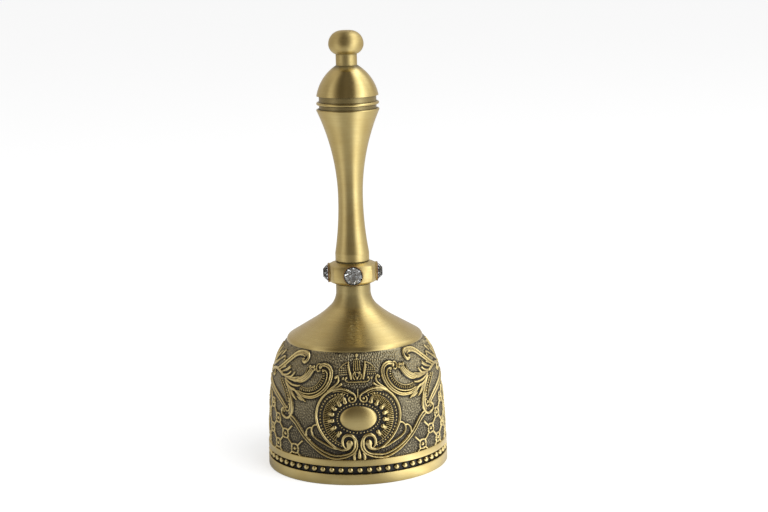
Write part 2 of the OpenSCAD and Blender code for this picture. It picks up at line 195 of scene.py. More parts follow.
world = bpy.data.worlds.new("light_tent")
world.use_nodes = True
bpy.context.scene.world = world
tree = world.node_tree
tree.nodes.clear()
seen_by, in_metal = light_paths(tree)
looking = add_node(tree, "TexCoord")
brightness, tint = tent_light(tree, looking.outputs["Generated"])
tent = add_node(tree, "Background", {"Color": tint, "Strength": brightness})
even = add_node(tree, "Background", {"Color": linear(WHITE), "Strength": LEVEL})
backdrop = add_node(tree, "Background", {"Color": linear(WHITE), "Strength": 1.0})
lit = add_node(tree, "MixShader", {0: in_metal, 1: even, 2: tent})
shown = add_node(tree, "MixShader", {0: seen_by.outputs["Is Camera Ray"], 1: lit, 2: backdrop})
add_node(tree, "OutputWorld", {"Surface": shown})
print("world:", world.name, "with an even level of", LEVEL)

# %% [markdown]
# ## The paper floor
# The bell stands on white paper. The paper is a matt white that also glows a little for the camera, so that
# it is as white as the backdrop and still takes the bell's shadow. The metal sees the same lit paper round
# the bell's foot, with a glow of painted light in it: a painted shadow ring at the foot and a brighter side
# towards the right softbox. Farther away the paper glows with the tent for the metal, a painted reflection.

# %% The paper floor
FLOOR_SIZE, PAPER_GREY = 12.0, "#e7e7e7"         # m
# The glow for the camera keeps the paper evenly white; the glow for the metal is painted light.
PAPER_GLOW, GLOW_IN_METAL = 0.48, 0.40
NEAR_PAPER, FAR_PAPER = 0.12, 0.6      # m from the bell, between which the metal's view of the paper fades
NEAR_SHARE = 0.55                      # how much of the painted tent reflection the metal already sees in the near paper
FOOT_R, OPEN_R, PAINTED_FOOT_SHADE = 0.0275, 0.033, 0.45   # m, the ring of paper at the foot that has a painted shadow, seen only by the metal
NEARER_SIDE = 1.2                      # the painted tent reflection in the near paper shows the softboxes a little wider apart
SIDE_NEAR, SIDE_FAR = 0.05, 0.11       # m, near the bell the paper has painted light on the right softbox's side, seen only by the metal
PAINTED_SIDE_LIGHT = 0.5

material, tree = new_tree("white_paper_painted_light")
seen_by, in_metal = light_paths(tree)
place = add_node(tree, "NewGeometry")
paper = add_node(tree, "BsdfDiffuse", {"Color": linear(PAPER_GREY)})
reach = add_node(tree, "VectorMath", {0: place.outputs["Position"]}, operation="LENGTH")
# Painted shade and light for rays from the metal: a shadow ring at the bell's foot and a brighter right side.
painted_foot_shade_and_side_light = add_node(tree, "MapRange", {"Value": reach, "From Min": FOOT_R, "From Max": OPEN_R,
                                       "To Min": PAINTED_FOOT_SHADE, "To Max": 1.0})
aside = add_node(tree, "VectorMath", {0: place.outputs["Position"]}, operation="NORMALIZE")
aside = add_node(tree, "SeparateXYZ", {0: aside})
painted_side_share = add_node(tree, "MapRange", {"Value": reach, "From Min": SIDE_NEAR, "From Max": SIDE_FAR,
                                        "To Min": PAINTED_SIDE_LIGHT, "To Max": 0.0})
side = add_node(tree, "Math", {0: aside.outputs["X"], 1: painted_side_share, 2: 1.0}, operation="MULTIPLY_ADD")
painted_foot_shade_and_side_light = add_node(tree, "Math", {0: painted_foot_shade_and_side_light, 1: side}, operation="MULTIPLY")
for_metal = add_node(tree, "Math", {0: in_metal, 1: GLOW_IN_METAL}, operation="MULTIPLY")
for_metal = add_node(tree, "Math", {0: for_metal, 1: painted_foot_shade_and_side_light}, operation="MULTIPLY")
for_camera = add_node(tree, "Math", {0: seen_by.outputs["Is Camera Ray"], 1: PAPER_GLOW, 2: for_metal},
                      operation="MULTIPLY_ADD")
glow = add_node(tree, "Emission", {"Color": linear(WHITE), "Strength": for_camera})
both = add_node(tree, "AddShader", {0: paper, 1: glow})
# For the metal the paper glows with the tent's brightness: a painted reflection of the tent.
wide = add_node(tree, "VectorMath", {0: place.outputs["Position"], 1: (NEARER_SIDE, 1.0, 1.0)},
                operation="MULTIPLY")
brightness, tint = tent_light(tree, wide)
strength = add_node(tree, "Math", {0: brightness, 1: painted_foot_shade_and_side_light}, operation="MULTIPLY")
painted_tent_reflection = add_node(tree, "Emission", {"Color": tint, "Strength": strength})
far = add_node(tree, "MapRange", {"Value": reach, "From Min": NEAR_PAPER, "From Max": FAR_PAPER,
                                  "To Min": NEAR_SHARE, "To Max": 1.0})
far = add_node(tree, "Math", {0: far, 1: in_metal}, operation="MULTIPLY")
surface = add_node(tree, "MixShader", {0: far, 1: both, 2: painted_tent_reflection})
add_node(tree, "OutputMaterial", {"Surface": surface})
print("paper:", material.name, "of the grey", PAPER_GREY)

# %% Lay the paper
bpy.ops.object.select_all(action="DESELECT")
bpy.ops.mesh.primitive_plane_add(size=FLOOR_SIZE)
floor = bpy.context.object
floor.name = "floor"
floor.data.materials.append(material)
print("floor:", FLOOR_SIZE, "m wide")

# %% [markdown]
# ## The key lamp
# One large soft lamp at the front right gives the shadow its side. The metal doesn't see the lamp itself,
# because the softbox in the tent already stands for it.

# %% The key lamp
KEY_PLACE, KEY_AIM = Vector((0.55, -0.55, 0.75)), Vector((0, 0, 0.05))       # m
KEY_WIDTH, KEY_HEIGHT, KEY_POWER = 0.8, 1.1, 6.0                             # m, m, W

bpy.ops.object.light_add(type="AREA", location=KEY_PLACE)
key = bpy.context.object
key.name = "key_softbox"
key.data.shape = "RECTANGLE"
key.data.size = KEY_WIDTH
key.data.size_y = KEY_HEIGHT
key.data.energy = KEY_POWER
key.visible_glossy = False
key.rotation_euler = (KEY_AIM - KEY_PLACE).to_track_quat("-Z", "Y").to_euler()
print("key lamp:", KEY_POWER, "W,", round((KEY_AIM - KEY_PLACE).length, 2), "m away")

# %% [markdown]
# ## Turned antique brass
# Crown, handle, dome and ball are brass-plated castings. They were spun against an abrasive belt, which
# leaves fine lines round the axis, then darkened, rubbed back and lacquered. To the eye that gives a warm
# pale gold, a gloss that is sharp round the axis and stretched along it, and a thin brown film in corners
# where the rubbing pad could not reach. The brown is partly that film and partly painted shade: it follows
# an ambient occlusion node and reaches out where neighbouring pieces shade the brass. The lines are drawn
# by a noise that is long round the axis and short along the profile. It takes the height and the radius as
# separate directions, so that it never smears where the profile turns from steep to flat.

# %% Turned antique brass
BRASS_RUBBED, BRASS_SHADE, BRASS_FILM_AND_SHADE = "#dac88c", "#c6ae6e", "#2c2416"
LINE_PITCH = 0.56 * MM              # real belt lines are about 0.05 mm, drawn coarser so that they show
LINE_STEPS = 1.25                   # steps of the noise in one radian round the axis, so a line is long
PATCH = 6.25 * MM                   # size of the soft patches in the rubbed brass
PATCH_TONE, LINE_TONE = 0.65, 0.35  # how far patches and lines go from the rubbed colour to the shade
SMOOTHER, ROUGHER = 0.05, 0.07      # how far a line's roughness lies below and above the piece's
FILM_REACH = 1.3 * MM               # how far the brown film and painted shade reach out of a corner
FILM_FULL, FILM_GONE = 0.38, 0.92   # how open a corner is where the film and painted shade are full, and where they end
FILM_DULL, FILM_METAL = 0.2, 0.35   # where film and painted shade lie, the brass is rougher and less metallic
LACQUER, LACQUER_ROUGH = 0.12, 0.12

# The brown colour is partly film and partly painted shade.
print("brass: rubbed", BRASS_RUBBED + ", in the shade", BRASS_SHADE + ", brown film", BRASS_FILM_AND_SHADE)


# %% Belt lines
def belt_lines(tree, point):
    """The noise of the belt lines at a point of a piece, and the point's distance from the bell's axis."""
    parts = add_node(tree, "SeparateXYZ", {0: point})
    flat = add_node(tree, "CombineXYZ", {"X": parts.outputs["X"], "Y": parts.outputs["Y"]})
    radius = add_node(tree, "VectorMath", {0: flat}, operation="LENGTH")
    around = add_node(tree, "VectorMath", {0: flat}, operation="NORMALIZE")
    around = add_node(tree, "VectorMath", {0: around, "Scale": LINE_STEPS}, operation="SCALE")
    height = add_node(tree, "Math", {0: parts.outputs["Z"], 1: 1 / LINE_PITCH}, operation="MULTIPLY")
    radial = add_node(tree, "Math", {0: radius, 1: 1 / LINE_PITCH}, operation="MULTIPLY")
    upright = add_node(tree, "CombineXYZ", {"Z": height})
    spot = add_node(tree, "VectorMath", {0: around, 1: upright}, operation="ADD")
    lines = add_node(tree, "TexNoise", {"Vector": spot, "W": radial, "Scale": 1.0,
                                        "Detail": 3.0, "Roughness": 0.6}, noise_dimensions="4D")
    return lines, radius


print("belt lines: %.2f mm apart, %.1f steps in a turn" % (LINE_PITCH / MM, LINE_STEPS * math.tau))


# %% The brass of one piece
# film is the strength of the brown, which is partly film and partly painted shade.
def turned_brass(name, roughness, stretch, line_depth, film=1.0, reach=FILM_REACH, alone=False,
                 film_and_shade_band=(0.0, 0.1 * MM, 0.0)):
    """Brass with belt lines round the bell's axis and a brown film in corners, partly painted shade.

    The brown is partly film and partly painted shade, darkest where an ambient occlusion node finds nearby
    surfaces. A piece that is alone has it only in its own corners. film_and_shade_band is a radius, inside
    which the brown also stays, the width over which it fades and its strength.
    """
    edge_r, fade, strength = film_and_shade_band
    material, tree = new_tree(name)
    where = add_node(tree, "TexCoord")
    lines, radius = belt_lines(tree, where.outputs["Object"])
    clouds = add_node(tree, "TexNoise", {"Vector": where.outputs["Object"], "Scale": 1 / PATCH,
                                         "Detail": 3.0})
    # Film and painted shade: the brown follows the occlusion by nearby surfaces.
    corner = add_node(tree, "AmbientOcclusion", {"Distance": reach}, samples=8, only_local=alone)
    film_and_shade_mask = add_node(tree, "MapRange", {"Value": corner.outputs["AO"], "From Min": FILM_FULL,
                                            "From Max": FILM_GONE, "To Min": film, "To Max": 0.0})
    # Inside a radius the brown also stays: painted shade under the neighbouring piece, and film.
    band_film_and_shade = add_node(tree, "MapRange", {"Value": radius, "From Min": edge_r - fade / 2,
                                         "From Max": edge_r + fade / 2, "To Min": strength, "To Max": 0.0})
    film_and_shade_mask = add_node(tree, "Math", {0: film_and_shade_mask, 1: band_film_and_shade}, operation="MAXIMUM")
    tone = add_node(tree, "MapRange", {"Value": clouds, "From Min": 0.3, "From Max": 0.7,
                                       "To Min": 0.0, "To Max": PATCH_TONE})
    metal = add_node(tree, "Mix", {0: tone, 6: linear(BRASS_RUBBED), 7: linear(BRASS_SHADE)},
                     data_type="RGBA")
    streak = add_node(tree, "MapRange", {"Value": lines, "From Min": 0.3, "From Max": 0.75,
                                         "To Min": 0.0, "To Max": LINE_TONE})
    metal = add_node(tree, "Mix", {0: streak, 6: metal, 7: linear(BRASS_SHADE)}, data_type="RGBA")
    colour = add_node(tree, "Mix", {0: film_and_shade_mask, 6: metal, 7: linear(BRASS_FILM_AND_SHADE)}, data_type="RGBA")
    gloss = add_node(tree, "MapRange", {"Value": lines, "From Min": 0.25, "From Max": 0.75,
                                        "To Min": roughness - SMOOTHER, "To Max": roughness + ROUGHER})
    dull = add_node(tree, "Math", {0: film_and_shade_mask, 1: FILM_DULL, 2: gloss}, operation="MULTIPLY_ADD")
    metallic = add_node(tree, "MapRange", {"Value": film_and_shade_mask, "To Min": 1.0, "To Max": FILM_METAL})
    bump = add_node(tree, "Bump", {"Height": lines, "Strength": 0.5, "Distance": line_depth})
    ring = add_node(tree, "Tangent", direction_type="RADIAL", axis="Z")
    shader = add_node(tree, "BsdfPrincipled", {"Base Color": colour, "Metallic": metallic,
                                               "Roughness": dull, "Anisotropic": stretch,
                                               "Anisotropic Rotation": 0.25,
                                               "Tangent": ring, "Normal": bump,
                                               "Coat Weight": LACQUER,
                                               "Coat Roughness": LACQUER_ROUGH})
    add_node(tree, "OutputMaterial", {"Surface": shader})
    return material


# The brown, film and painted shade, reaches this far.
print("brown film: %.1f mm wide" % (FILM_REACH / MM))

# %% [markdown]
# ### One brass for each turned piece
# The pieces were finished one by one, so each has a gloss and a film of its own: the dome is buffed, the
# handle satin, the ball worn by the hand. Where one piece meets the next the brass is brown, partly from the
# film and partly from painted shade of the neighbouring piece, and for the crown, the dome and the grooved
# ring a radius says where that begins.

# %% One brass for each turned piece
# On the crown, the dome and the knob the brown reaches far, as painted shade from the neighbouring pieces.
crown_brass = turned_brass("antique_brass_belt_brushed", 0.28, 0.6, 0.02 * MM, reach=2.5 * MM,
                           film_and_shade_band=(6.2 * MM, 3.0 * MM, 0.38))
handle_brass = turned_brass("antique_brass_satin", 0.36, 0.5, 0.02 * MM)
dome_brass = turned_brass("antique_brass_buffed", 0.2, 0.35, 0.008 * MM, reach=2.5 * MM,
                          film_and_shade_band=(4.3 * MM, 1.4 * MM, 0.75))
collar_brass = turned_brass("antique_brass_collar", 0.34, 0.4, 0.015 * MM, film=0.6, reach=0.6 * MM)
spool_brass = turned_brass("antique_brass_grooves", 0.24, 0.35, 0.008 * MM,
                           film_and_shade_band=(8.9 * MM, 0.3 * MM, 0.5))
knob_brass = turned_brass("antique_brass_knob", 0.42, 0.2, 0.01 * MM, reach=3.0 * MM)

finish_of = {"crown_shell": crown_brass, "handle_shaft": handle_brass, "dome_cap": dome_brass,
             "finial_knob": knob_brass, "spool_ring": spool_brass}


def give_material(name, material):
    """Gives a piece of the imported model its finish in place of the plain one."""
    nodes[name].data.materials.clear()
    nodes[name].data.materials.append(material)


for name, brass in finish_of.items():
    give_material(name, brass)
print("turned pieces:", ", ".join(finish_of))

# %% [markdown]
# ## The skirt, laid flat
# The relief goes all round the skirt. It is drawn once, on a sheet: one quarter of a turn wide and as high
# as the field, in millimetres. The front of the bell is at 0, its side at a quarter turn. Mirrored four
# times it gives the whole field, because the cast pattern is symmetrical, front and back alike. The sheet
# is a grid of heights, and every stroke of the chaser's tool raises some of them. The same sheet later
# shapes the mesh, so that the relief is true geometry.

# %% The skirt, laid flat
FIELD_LOW, FIELD_HIGH = 7.6, 38.6      # mm, from the belt up to the joint with the crown
UNROLL_R = 26.5                        # mm, the radius at which the pattern is laid flat
QUARTER = math.pi / 2 * UNROLL_R
COLS, ROWS = 344, 258                  # cells of the sheet, about 0.12 mm wide and high
PITCH = QUARTER / COLS

SIDE_ARC, SIDE_CENTRE = 154.0, (-127.25, 7.6)            # mm, the steep wall of the field
SHOULDER_ARC, SHOULDER_CENTRE = 26.6, (-0.7727, 22.9054)  # mm, its shoulder
ARCS_MEET = 26.1                       # mm up, where the wall goes over into the shoulder


def ground_radius(z):
    """Radius of the bare ground of the field at a height, in mm."""
    z = np.asarray(z, float)
    side = SIDE_CENTRE[0] + np.sqrt(SIDE_ARC ** 2 - (z - SIDE_CENTRE[1]) ** 2)
    shoulder = SHOULDER_CENTRE[0] + np.sqrt(SHOULDER_ARC ** 2 - (z - SHOULDER_CENTRE[1]) ** 2)
    return np.where(z < ARCS_MEET, side, shoulder)


def on_skirt(s, z, stand):
    """Points in metres that stand out from the ground by stand mm, at s mm round and z mm up."""
    turn = s / UNROLL_R
    r = ground_radius(z)
    slope = (ground_radius(z + 0.01) - ground_radius(z - 0.01)) / 0.02
    lean = np.sqrt(1 + slope ** 2)
    r, up_z = r + stand / lean, z - stand * slope / lean
    return np.stack([r * np.sin(turn), -r * np.cos(turn), up_z], -1) * MM


across, up = np.meshgrid(np.linspace(0, QUARTER, COLS + 1), np.linspace(FIELD_LOW, FIELD_HIGH, ROWS + 1))
relief = np.zeros_like(across)
pearls = []                            # (round, up, radius, lift) of each pearl, in mm
print("a quarter is %.1f mm wide, cells are %.2f mm" % (QUARTER, PITCH))

# %% [markdown]
# ## The chaser's tools
# A rococo ornament is made of few kinds of stroke. A scroll is a ridge along a curve that swells and thins;
# its top is round, grooved or veined like a leaf. A drop or a bead is a round dot. The curve goes through a
# few listed points, and the ridge's width and height are spread along it. Where strokes cross, the
# higher one wins.

# %% The chaser's tools
HIGH, MID = 0.62, 0.5                  # mm, how far main and middle strokes stand out
SWELL = 1.14                           # casting rounds a stroke and leaves it a little wider than drawn
LOWERED = 0.28                         # mm, how far the low end of the pattern is drawn down towards the belt
LOWERED_FROM, LOWERED_OVER = 28, 19    # mm, the height where that begins, and the way over which it grows


def lowered(z):
    """Turns a height as drawn to the height on the bell, which is a little lower towards the belt."""
    return z - LOWERED * np.clip((LOWERED_FROM - z) / LOWERED_OVER, 0, 1)


def smooth_line(points, per=6):
    """A curve through all the points."""
    p = np.array(points, float)
    p = np.vstack([2 * p[0] - p[1], p, 2 * p[-1] - p[-2]])
    t = (np.arange(per) / per)[:, None]
    spans = [0.5 * (2 * p[k + 1] + (p[k + 2] - p[k]) * t
                    + (2 * p[k] - 5 * p[k + 1] + 4 * p[k + 2] - p[k + 3]) * t ** 2
                    + (3 * p[k + 1] - p[k] - 3 * p[k + 2] + p[k + 3]) * t ** 3)
             for k in range(len(p) - 3)]
    return np.vstack(spans + [p[-2]])


# how high a stroke stands across its width, where x is 0 at its middle and 1 at its edge
def round_top(x):
    return np.sqrt(np.clip(1 - x * x, 0, 1))


def soft_top(x):
    return np.clip(1 - x ** 2, 0, 1) ** 0.75


def grooved(x):
    return np.clip(1 - x ** 4, 0, 1) ** 0.6 * (1 - 0.5 * np.exp(-(x / 0.3) ** 2))


def veined(x):
    return np.clip(1 - x ** 3, 0, 1) ** 0.7 * (1 - 0.3 * np.exp(-(x / 0.18) ** 2))


print("main strokes stand out %.2f mm, middle ones %.2f mm" % (HIGH, MID))


# %% Strokes and dots
def window(low, high):
    """The part of the sheet between two corners, as a pair of slices."""
    j = np.clip(np.array([low[0], high[0]]) / PITCH, 0, COLS)
    i = np.clip((np.array([low[1], high[1]]) - FIELD_LOW) / (FIELD_HIGH - FIELD_LOW) * ROWS, 0, ROWS)
    return slice(int(i[0]), int(math.ceil(i[1])) + 1), slice(int(j[0]), int(math.ceil(j[1])) + 1)


def ridge(points, width, height, top=soft_top, curved=True):
    """Raises a ridge along a line. width and height are single values, or lists spread over its length."""
    line = smooth_line(points) if curved else np.array(points, float)
    line[:, 1] = lowered(line[:, 1])
    width, height = np.atleast_1d(width) * SWELL, np.atleast_1d(height).astype(float)
    reach = width.max() / 2 + PITCH
    part = window(line.min(0) - reach, line.max(0) + reach)
    s, z = across[part], up[part]
    nearest, along = np.full(s.shape, 1e9), np.zeros(s.shape)
    for k, (a, b) in enumerate(zip(line[:-1], line[1:])):
        step = b - a
        t = np.clip(((s - a[0]) * step[0] + (z - a[1]) * step[1]) / max(step @ step, 1e-9), 0, 1)
        gap = (s - a[0] - t * step[0]) ** 2 + (z - a[1] - t * step[1]) ** 2
        along = np.where(gap < nearest, (k + t) / (len(line) - 1), along)
        nearest = np.minimum(gap, nearest)
    w = np.interp(along, np.linspace(0, 1, len(width)), width)
    h = np.interp(along, np.linspace(0, 1, len(height)), height)
    relief[part] = np.maximum(relief[part], h * top(np.sqrt(nearest) / (w / 2)))


def dot(s, z, r, height, top=round_top):
    """Raises a round bump."""
    z = float(lowered(z))
    part = window((s - r, z - r), (s + r, z + r))
    x = np.hypot(across[part] - s, up[part] - z) / r
    relief[part] = np.maximum(relief[part], height * top(np.minimum(x, 1)))


print("the window round a square millimetre holds", across[window((10, 20), (11, 21))].size, "points")


# %% Rows along a curve
def spread(points, spacing):
    """Places at an even spacing along a curve, each with the direction of the curve there."""
    line = smooth_line(points, 10)
    run = np.concatenate([[0], np.cumsum(np.hypot(*np.diff(line, axis=0).T))])
    stops = np.linspace(0, run[-1], max(int(round(run[-1] / spacing)), 1) + 1)
    places = np.stack([np.interp(stops, run, line[:, 0]), np.interp(stops, run, line[:, 1])], -1)
    ways = np.gradient(places, axis=0)
    return places, ways / np.linalg.norm(ways, axis=1, keepdims=True)


def pearl_row(points, spacing, r, lift):
    """Notes a row of pearls along a curve."""
    places, ways = spread(points, spacing)
    pearls.extend((s, z, r, lift) for s, z in places)


def rungs(points, spacing, length, width, height):
    """A row of short bars across a curve, like the rungs of a ladder."""
    for (s, z), (c, n) in zip(*spread(points, spacing)):
        ridge([(s - n * length / 2, z + c * length / 2), (s + n * length / 2, z - c * length / 2)],
              width, height, curved=False)


def drawn_in(points, shift=0.4):
    """Moves the outer motifs a little towards the front, where the two sides of the picture agree best."""
    return [(s - shift * min(max((s - 12) / 8, 0), 1), z) for s, z in points]


def tell(motif):
    """Prints how far the sheet is filled after a motif."""
    print("%s: %.0f %% of the sheet is raised, %d pearls" % (motif, 100 * (relief > 0).mean(), len(pearls)))


tell("before the first stroke")

# %% [markdown]
# ### The cartouche
# An oval boss sits front and back. Round it run a ring of pearls, a ring of drops, a fan of fine rays
# behind the drops and a second ring of pearls, all inside a C-shaped frame that starts in a small volute at
# the top. Pearls and rays stand at even steps, so loops place them. The drops differ from one to the next
# and are listed one by one.

# %% The cartouche
RING_HALF_W, RING_HALF_H, BOSS_UP = 6.35, 4.25, 20.1      # mm
RING_PEARLS = 38

for k in range(RING_PEARLS // 2):                  # pearls round the boss, right half
    a = math.pi * ((k + 0.5) / (RING_PEARLS // 2) - 0.5)
    pearls.append((RING_HALF_W * math.cos(a), BOSS_UP + RING_HALF_H * math.sin(a), 0.26, 0.24))
# a drop's place round and up in mm, and the way it points in degrees
drops = [(3.9, 24.9, 74), (5.55, 24.1, 60), (7.05, 22.9, 38), (7.85, 21.25, 14), (7.85, 19.4, -8),
         (7.2, 17.4, -32), (5.65, 15.9, -58)]
RAYS_PER_GAP = 5


def straight(s, z, way, start, end, width, height):
    """A straight ridge from start to end, in mm from a place, in a direction in degrees."""
    c, n = math.cos(math.radians(way)), math.sin(math.radians(way))
    ridge([(s + start * c, z + start * n), (s + end * c, z + end * n)], width, height, curved=False)


for s, z, way in drops:
    dot(s, z, 0.72, 0.64)
    straight(s, z, way, 0.3, 0.95, [1.1, 1.2], [0.56, 0.4])
for k in range(RAYS_PER_GAP * (len(drops) - 1) + 1):      # a fan of fine rays fills the ring behind the drops
    s, z, way = (np.interp(k / RAYS_PER_GAP, range(len(drops)), line) for line in zip(*drops))
    straight(s, z, way, 0.7, 2.75, [0.22, 0.31], [0.56, 0.52])
frame_line = [(3.3, 11.15), (4.0, 10.92), (5.0, 10.85), (6.6, 11.35), (8.0, 12.25), (9.3, 13.35),
              (10.5, 14.7), (11.7, 16.5), (12.5, 18.2), (12.9, 20.0), (12.9, 21.4), (12.5, 23.3),
              (11.7, 25.0), (10.7, 26.3), (9.6, 27.3), (8.4, 28.0), (7.0, 28.5), (5.2, 28.7), (3.5, 28.4),
              (2.3, 27.8), (1.3, 27.3), (0.75, 26.7)]
ridge(frame_line, [0.8, 0.75, 0.8, 0.85, 0.9, 0.85, 0.8, 0.6], HIGH)
ridge([(7.6, 27.75), (6.4, 28.0), (5.0, 28.0), (3.9, 27.75), (3.0, 27.3)], [0.3, 0.4, 0.35], 0.42)
pearl_row([(5.2, 12.1), (6.9, 12.85), (8.6, 13.9), (9.9, 15.2), (10.9, 16.9), (11.5, 18.6), (11.7, 20.4),
           (11.5, 22.2), (10.9, 23.8), (9.8, 25.4), (8.2, 26.5), (6.3, 27.15), (4.4, 27.2), (3.2, 26.8)],
          0.97, 0.31, 0.3)
ridge([(4.9, 12.6), (6.2, 13.2), (7.8, 14.2), (9.1, 15.6), (10.0, 17.3), (10.5, 19.1), (10.55, 21.0),
       (10.15, 22.9), (9.2, 24.5), (7.9, 25.7), (6.2, 26.4), (4.4, 26.5)], 0.3, 0.28)
ridge([(0.75, 26.7), (0.62, 25.9), (1.0, 25.2), (1.8, 24.9), (2.55, 25.2), (2.75, 25.95), (2.3, 26.5)],
      [0.55, 0.6, 0.6, 0.45], MID)
dot(1.7, 25.95, 0.48, HIGH)
ridge([(0.0, 28.6), (0.0, 27.4), (0.0, 26.2)], [0.3, 0.5, 0.3], 0.4)
tell("cartouche")

# %% [markdown]
# ### The bottom volutes
# Below the cartouche two volutes turn away from each other. Each sends out two rails side by side, with
# loops above them like handles. A pendant drop hangs between the two. A volute is one stroke that starts
# inside the curl and unrolls, with a dot for its eye: a spiral from a formula would look too regular.

# %% The bottom volutes
dot(2.75, 12.75, 1.15, 0.68)
ridge([(2.9, 12.3), (3.1, 11.6), (3.7, 11.05), (4.8, 10.85)], [1.9, 1.5, 1.0, 0.8], [0.66, 0.62, 0.6])
ridge([(3.95, 11.45), (4.3, 11.75), (4.75, 12.5), (4.8, 13.7), (4.25, 14.8), (3.2, 15.25), (2.0, 15.0),
       (1.3, 14.1), (1.2, 12.9), (1.25, 11.9), (1.6, 11.0), (2.3, 10.2), (3.5, 9.6), (5.5, 9.2), (7.6, 9.2),
       (10.0, 9.95), (12.0, 10.95), (14.0, 12.2), (15.5, 13.4)],
      [0.4, 0.9, 1.05, 1.0, 0.8, 0.62, 0.6, 0.6, 0.62], HIGH)
rail_inner = drawn_in([(15.3, 13.25), (17.0, 14.6), (18.5, 16.2), (20.0, 17.8), (21.4, 18.9), (22.6, 19.4)])
rail_outer = drawn_in([(1.1, 14.5), (0.68, 13.6), (0.52, 12.6), (0.6, 11.6), (1.05, 10.6), (1.95, 9.65),
                       (3.5, 8.85), (5.3, 8.35), (7.3, 8.2), (9.0, 8.55), (11.0, 9.4), (13.0, 10.55),
                       (15.0, 12.0), (17.0, 13.5), (18.8, 15.2), (20.6, 17.1), (22.9, 18.6)])
ridge(rail_inner, 0.66, HIGH)
ridge(rail_outer, [0.5, 0.62, 0.66, 0.66, 0.66], HIGH)
ridge(drawn_in([(14.0, 11.7), (17.0, 14.05), (19.5, 16.5), (22.5, 18.9)]), 0.9, 0.3)
ridge(drawn_in([(12.7, 17.95), (13.6, 17.75), (14.35, 17.0), (14.6, 15.9), (14.2, 14.75), (13.2, 13.95),
                (12.0, 13.3), (10.0, 12.35), (8.2, 11.5), (6.6, 11.1)]), 0.58, 0.56)
ridge(drawn_in([(14.7, 16.9), (15.6, 16.75), (16.4, 15.9), (16.6, 14.8), (16.2, 13.8), (15.3, 13.1)]),
      0.58, 0.56)
ridge([(0.0, 11.0), (0.0, 9.7), (0.0, 8.6)], [0.4, 1.0, 1.15], [0.45, 0.62, 0.64], curved=False)
ridge([(1.05, 10.0), (1.5, 9.0), (1.5, 7.8)], [0.4, 0.95, 0.8], 0.52)
tell("bottom volutes")

# %% [markdown]
# ### The small crown and its tendrils
# Above the cartouche stands a small decorative crown of the old-fashioned kind, with plumes and feathers at
# its sides, and two tendrils grow towards it. At this size each of its forms is a dot or a short ridge, and
# only the beads of the feathers are regular enough for a formula.

# %% The small crown and its tendrils
ridge([(0, 30.6), (1.6, 30.6), (2.9, 30.65), (3.6, 30.95), (3.9, 31.45)], [0.5, 0.5, 0.4], 0.46)
for s in (0.55, 1.35, 2.15, 2.9):                  # studs on the crown's band
    dot(s, 30.0, 0.26, 0.26)
for s, z, r, h in ((3.45, 31.75, 0.42, 0.46), (4.55, 31.6, 0.42, 0.42), (0, 37.8, 0.58, 0.56),
                   (0, 36.85, 0.4, 0.48), (0.62, 36.7, 0.26, 0.3), (0, 31.6, 0.42, 0.5),
                   (0.85, 33.3, 0.34, 0.44)):
    dot(s, z, r, h)
ridge([(2.8, 36.1), (2.75, 35.0), (2.5, 33.7), (2.15, 32.5), (1.95, 31.5)], [0.5, 0.85, 0.9, 0.7],
      [0.5, 0.62, 0.6, 0.45])
ridge([(3.2, 36.0), (4.2, 35.6), (5.2, 34.9), (6.0, 34.1)], [0.4, 0.42, 0.3], 0.32)
for s in (0.3, 0.95):                              # the crown's upright bows
    ridge([(s, 36.3), (s * 1.05, 35.0), (s * 1.2, 33.8)], 0.38, 0.5)
ridge([(0.0, 33.25), (0.5, 33.1), (0.62, 32.55), (0.45, 32.05), (0.0, 31.9)], 0.38, 0.46)
ridge([(0.9, 33.2), (1.3, 32.6), (1.25, 31.8), (0.85, 31.35)], 0.4, 0.42)
for k in range(5):                                 # beaded feathers beside the plume
    for row in range(5 - k // 2):
        dot(3.4 + 0.62 * k - 0.05 * row, 32.75 + 0.6 * row - 0.04 * k, 0.26, 0.3)
ridge([(6.95, 32.05), (6.4, 32.25), (5.95, 31.6), (6.1, 30.6), (6.9, 29.7), (8.0, 28.9), (9.3, 27.9)],
      [0.55, 0.6, 0.72, 0.72, 0.6], MID)
dot(6.95, 31.8, 0.52, 0.6)
ridge([(5.1, 30.0), (6.0, 29.35), (7.4, 28.8), (8.8, 28.1)], [0.8, 0.6, 0.45], MID)
tell("small crown")

# %% [markdown]
# ### The big C scrolls
# Left and right of the small crown, a broad C scroll with parallel ridges holds a row of short rungs
# inside, like a ladder. The rungs stand across a curve of their own, at even steps of its length, because
# nobody keeps such a spacing by eye.

# %% The big C scrolls
big_out = drawn_in([(20.4, 27.0), (19.4, 26.5), (18.3, 26.0), (17.0, 25.75), (15.5, 25.75), (14.0, 26.0),
                    (12.5, 26.6), (11.1, 27.5), (10.05, 28.5), (9.2, 29.7), (8.65, 31.0), (8.4, 32.3),
                    (8.55, 33.5), (9.2, 34.45), (10.2, 35.0), (11.2, 35.15), (12.2, 34.95), (12.65, 34.45)])
ridge(big_out, [0.4, 0.8, 0.95, 1.05, 1.15, 1.2, 1.05, 0.8], HIGH + 0.04, grooved)
dot(12.55, 34.4, 0.6, 0.64)
big_in = drawn_in([(19.8, 27.15), (18.4, 26.75), (17.0, 26.65), (15.0, 26.85), (13.2, 27.4), (11.8, 28.25),
                   (10.75, 29.4), (10.05, 30.6), (9.75, 31.8), (9.85, 32.75), (10.3, 33.4), (10.9, 33.7),
                   (11.4, 33.6)])
ridge(big_in, [0.4, 0.5, 0.5, 0.52, 0.55], 0.55)
dot(11.35, 33.55, 0.52, 0.62)
rungs(drawn_in([(19.4, 27.8), (17.5, 27.55), (15.6, 27.7), (14.2, 28.1), (12.9, 28.8), (11.9, 29.75),
                (11.2, 30.9), (10.95, 32.0), (11.1, 32.8)]), 0.7, 0.5, 0.34, 0.44)
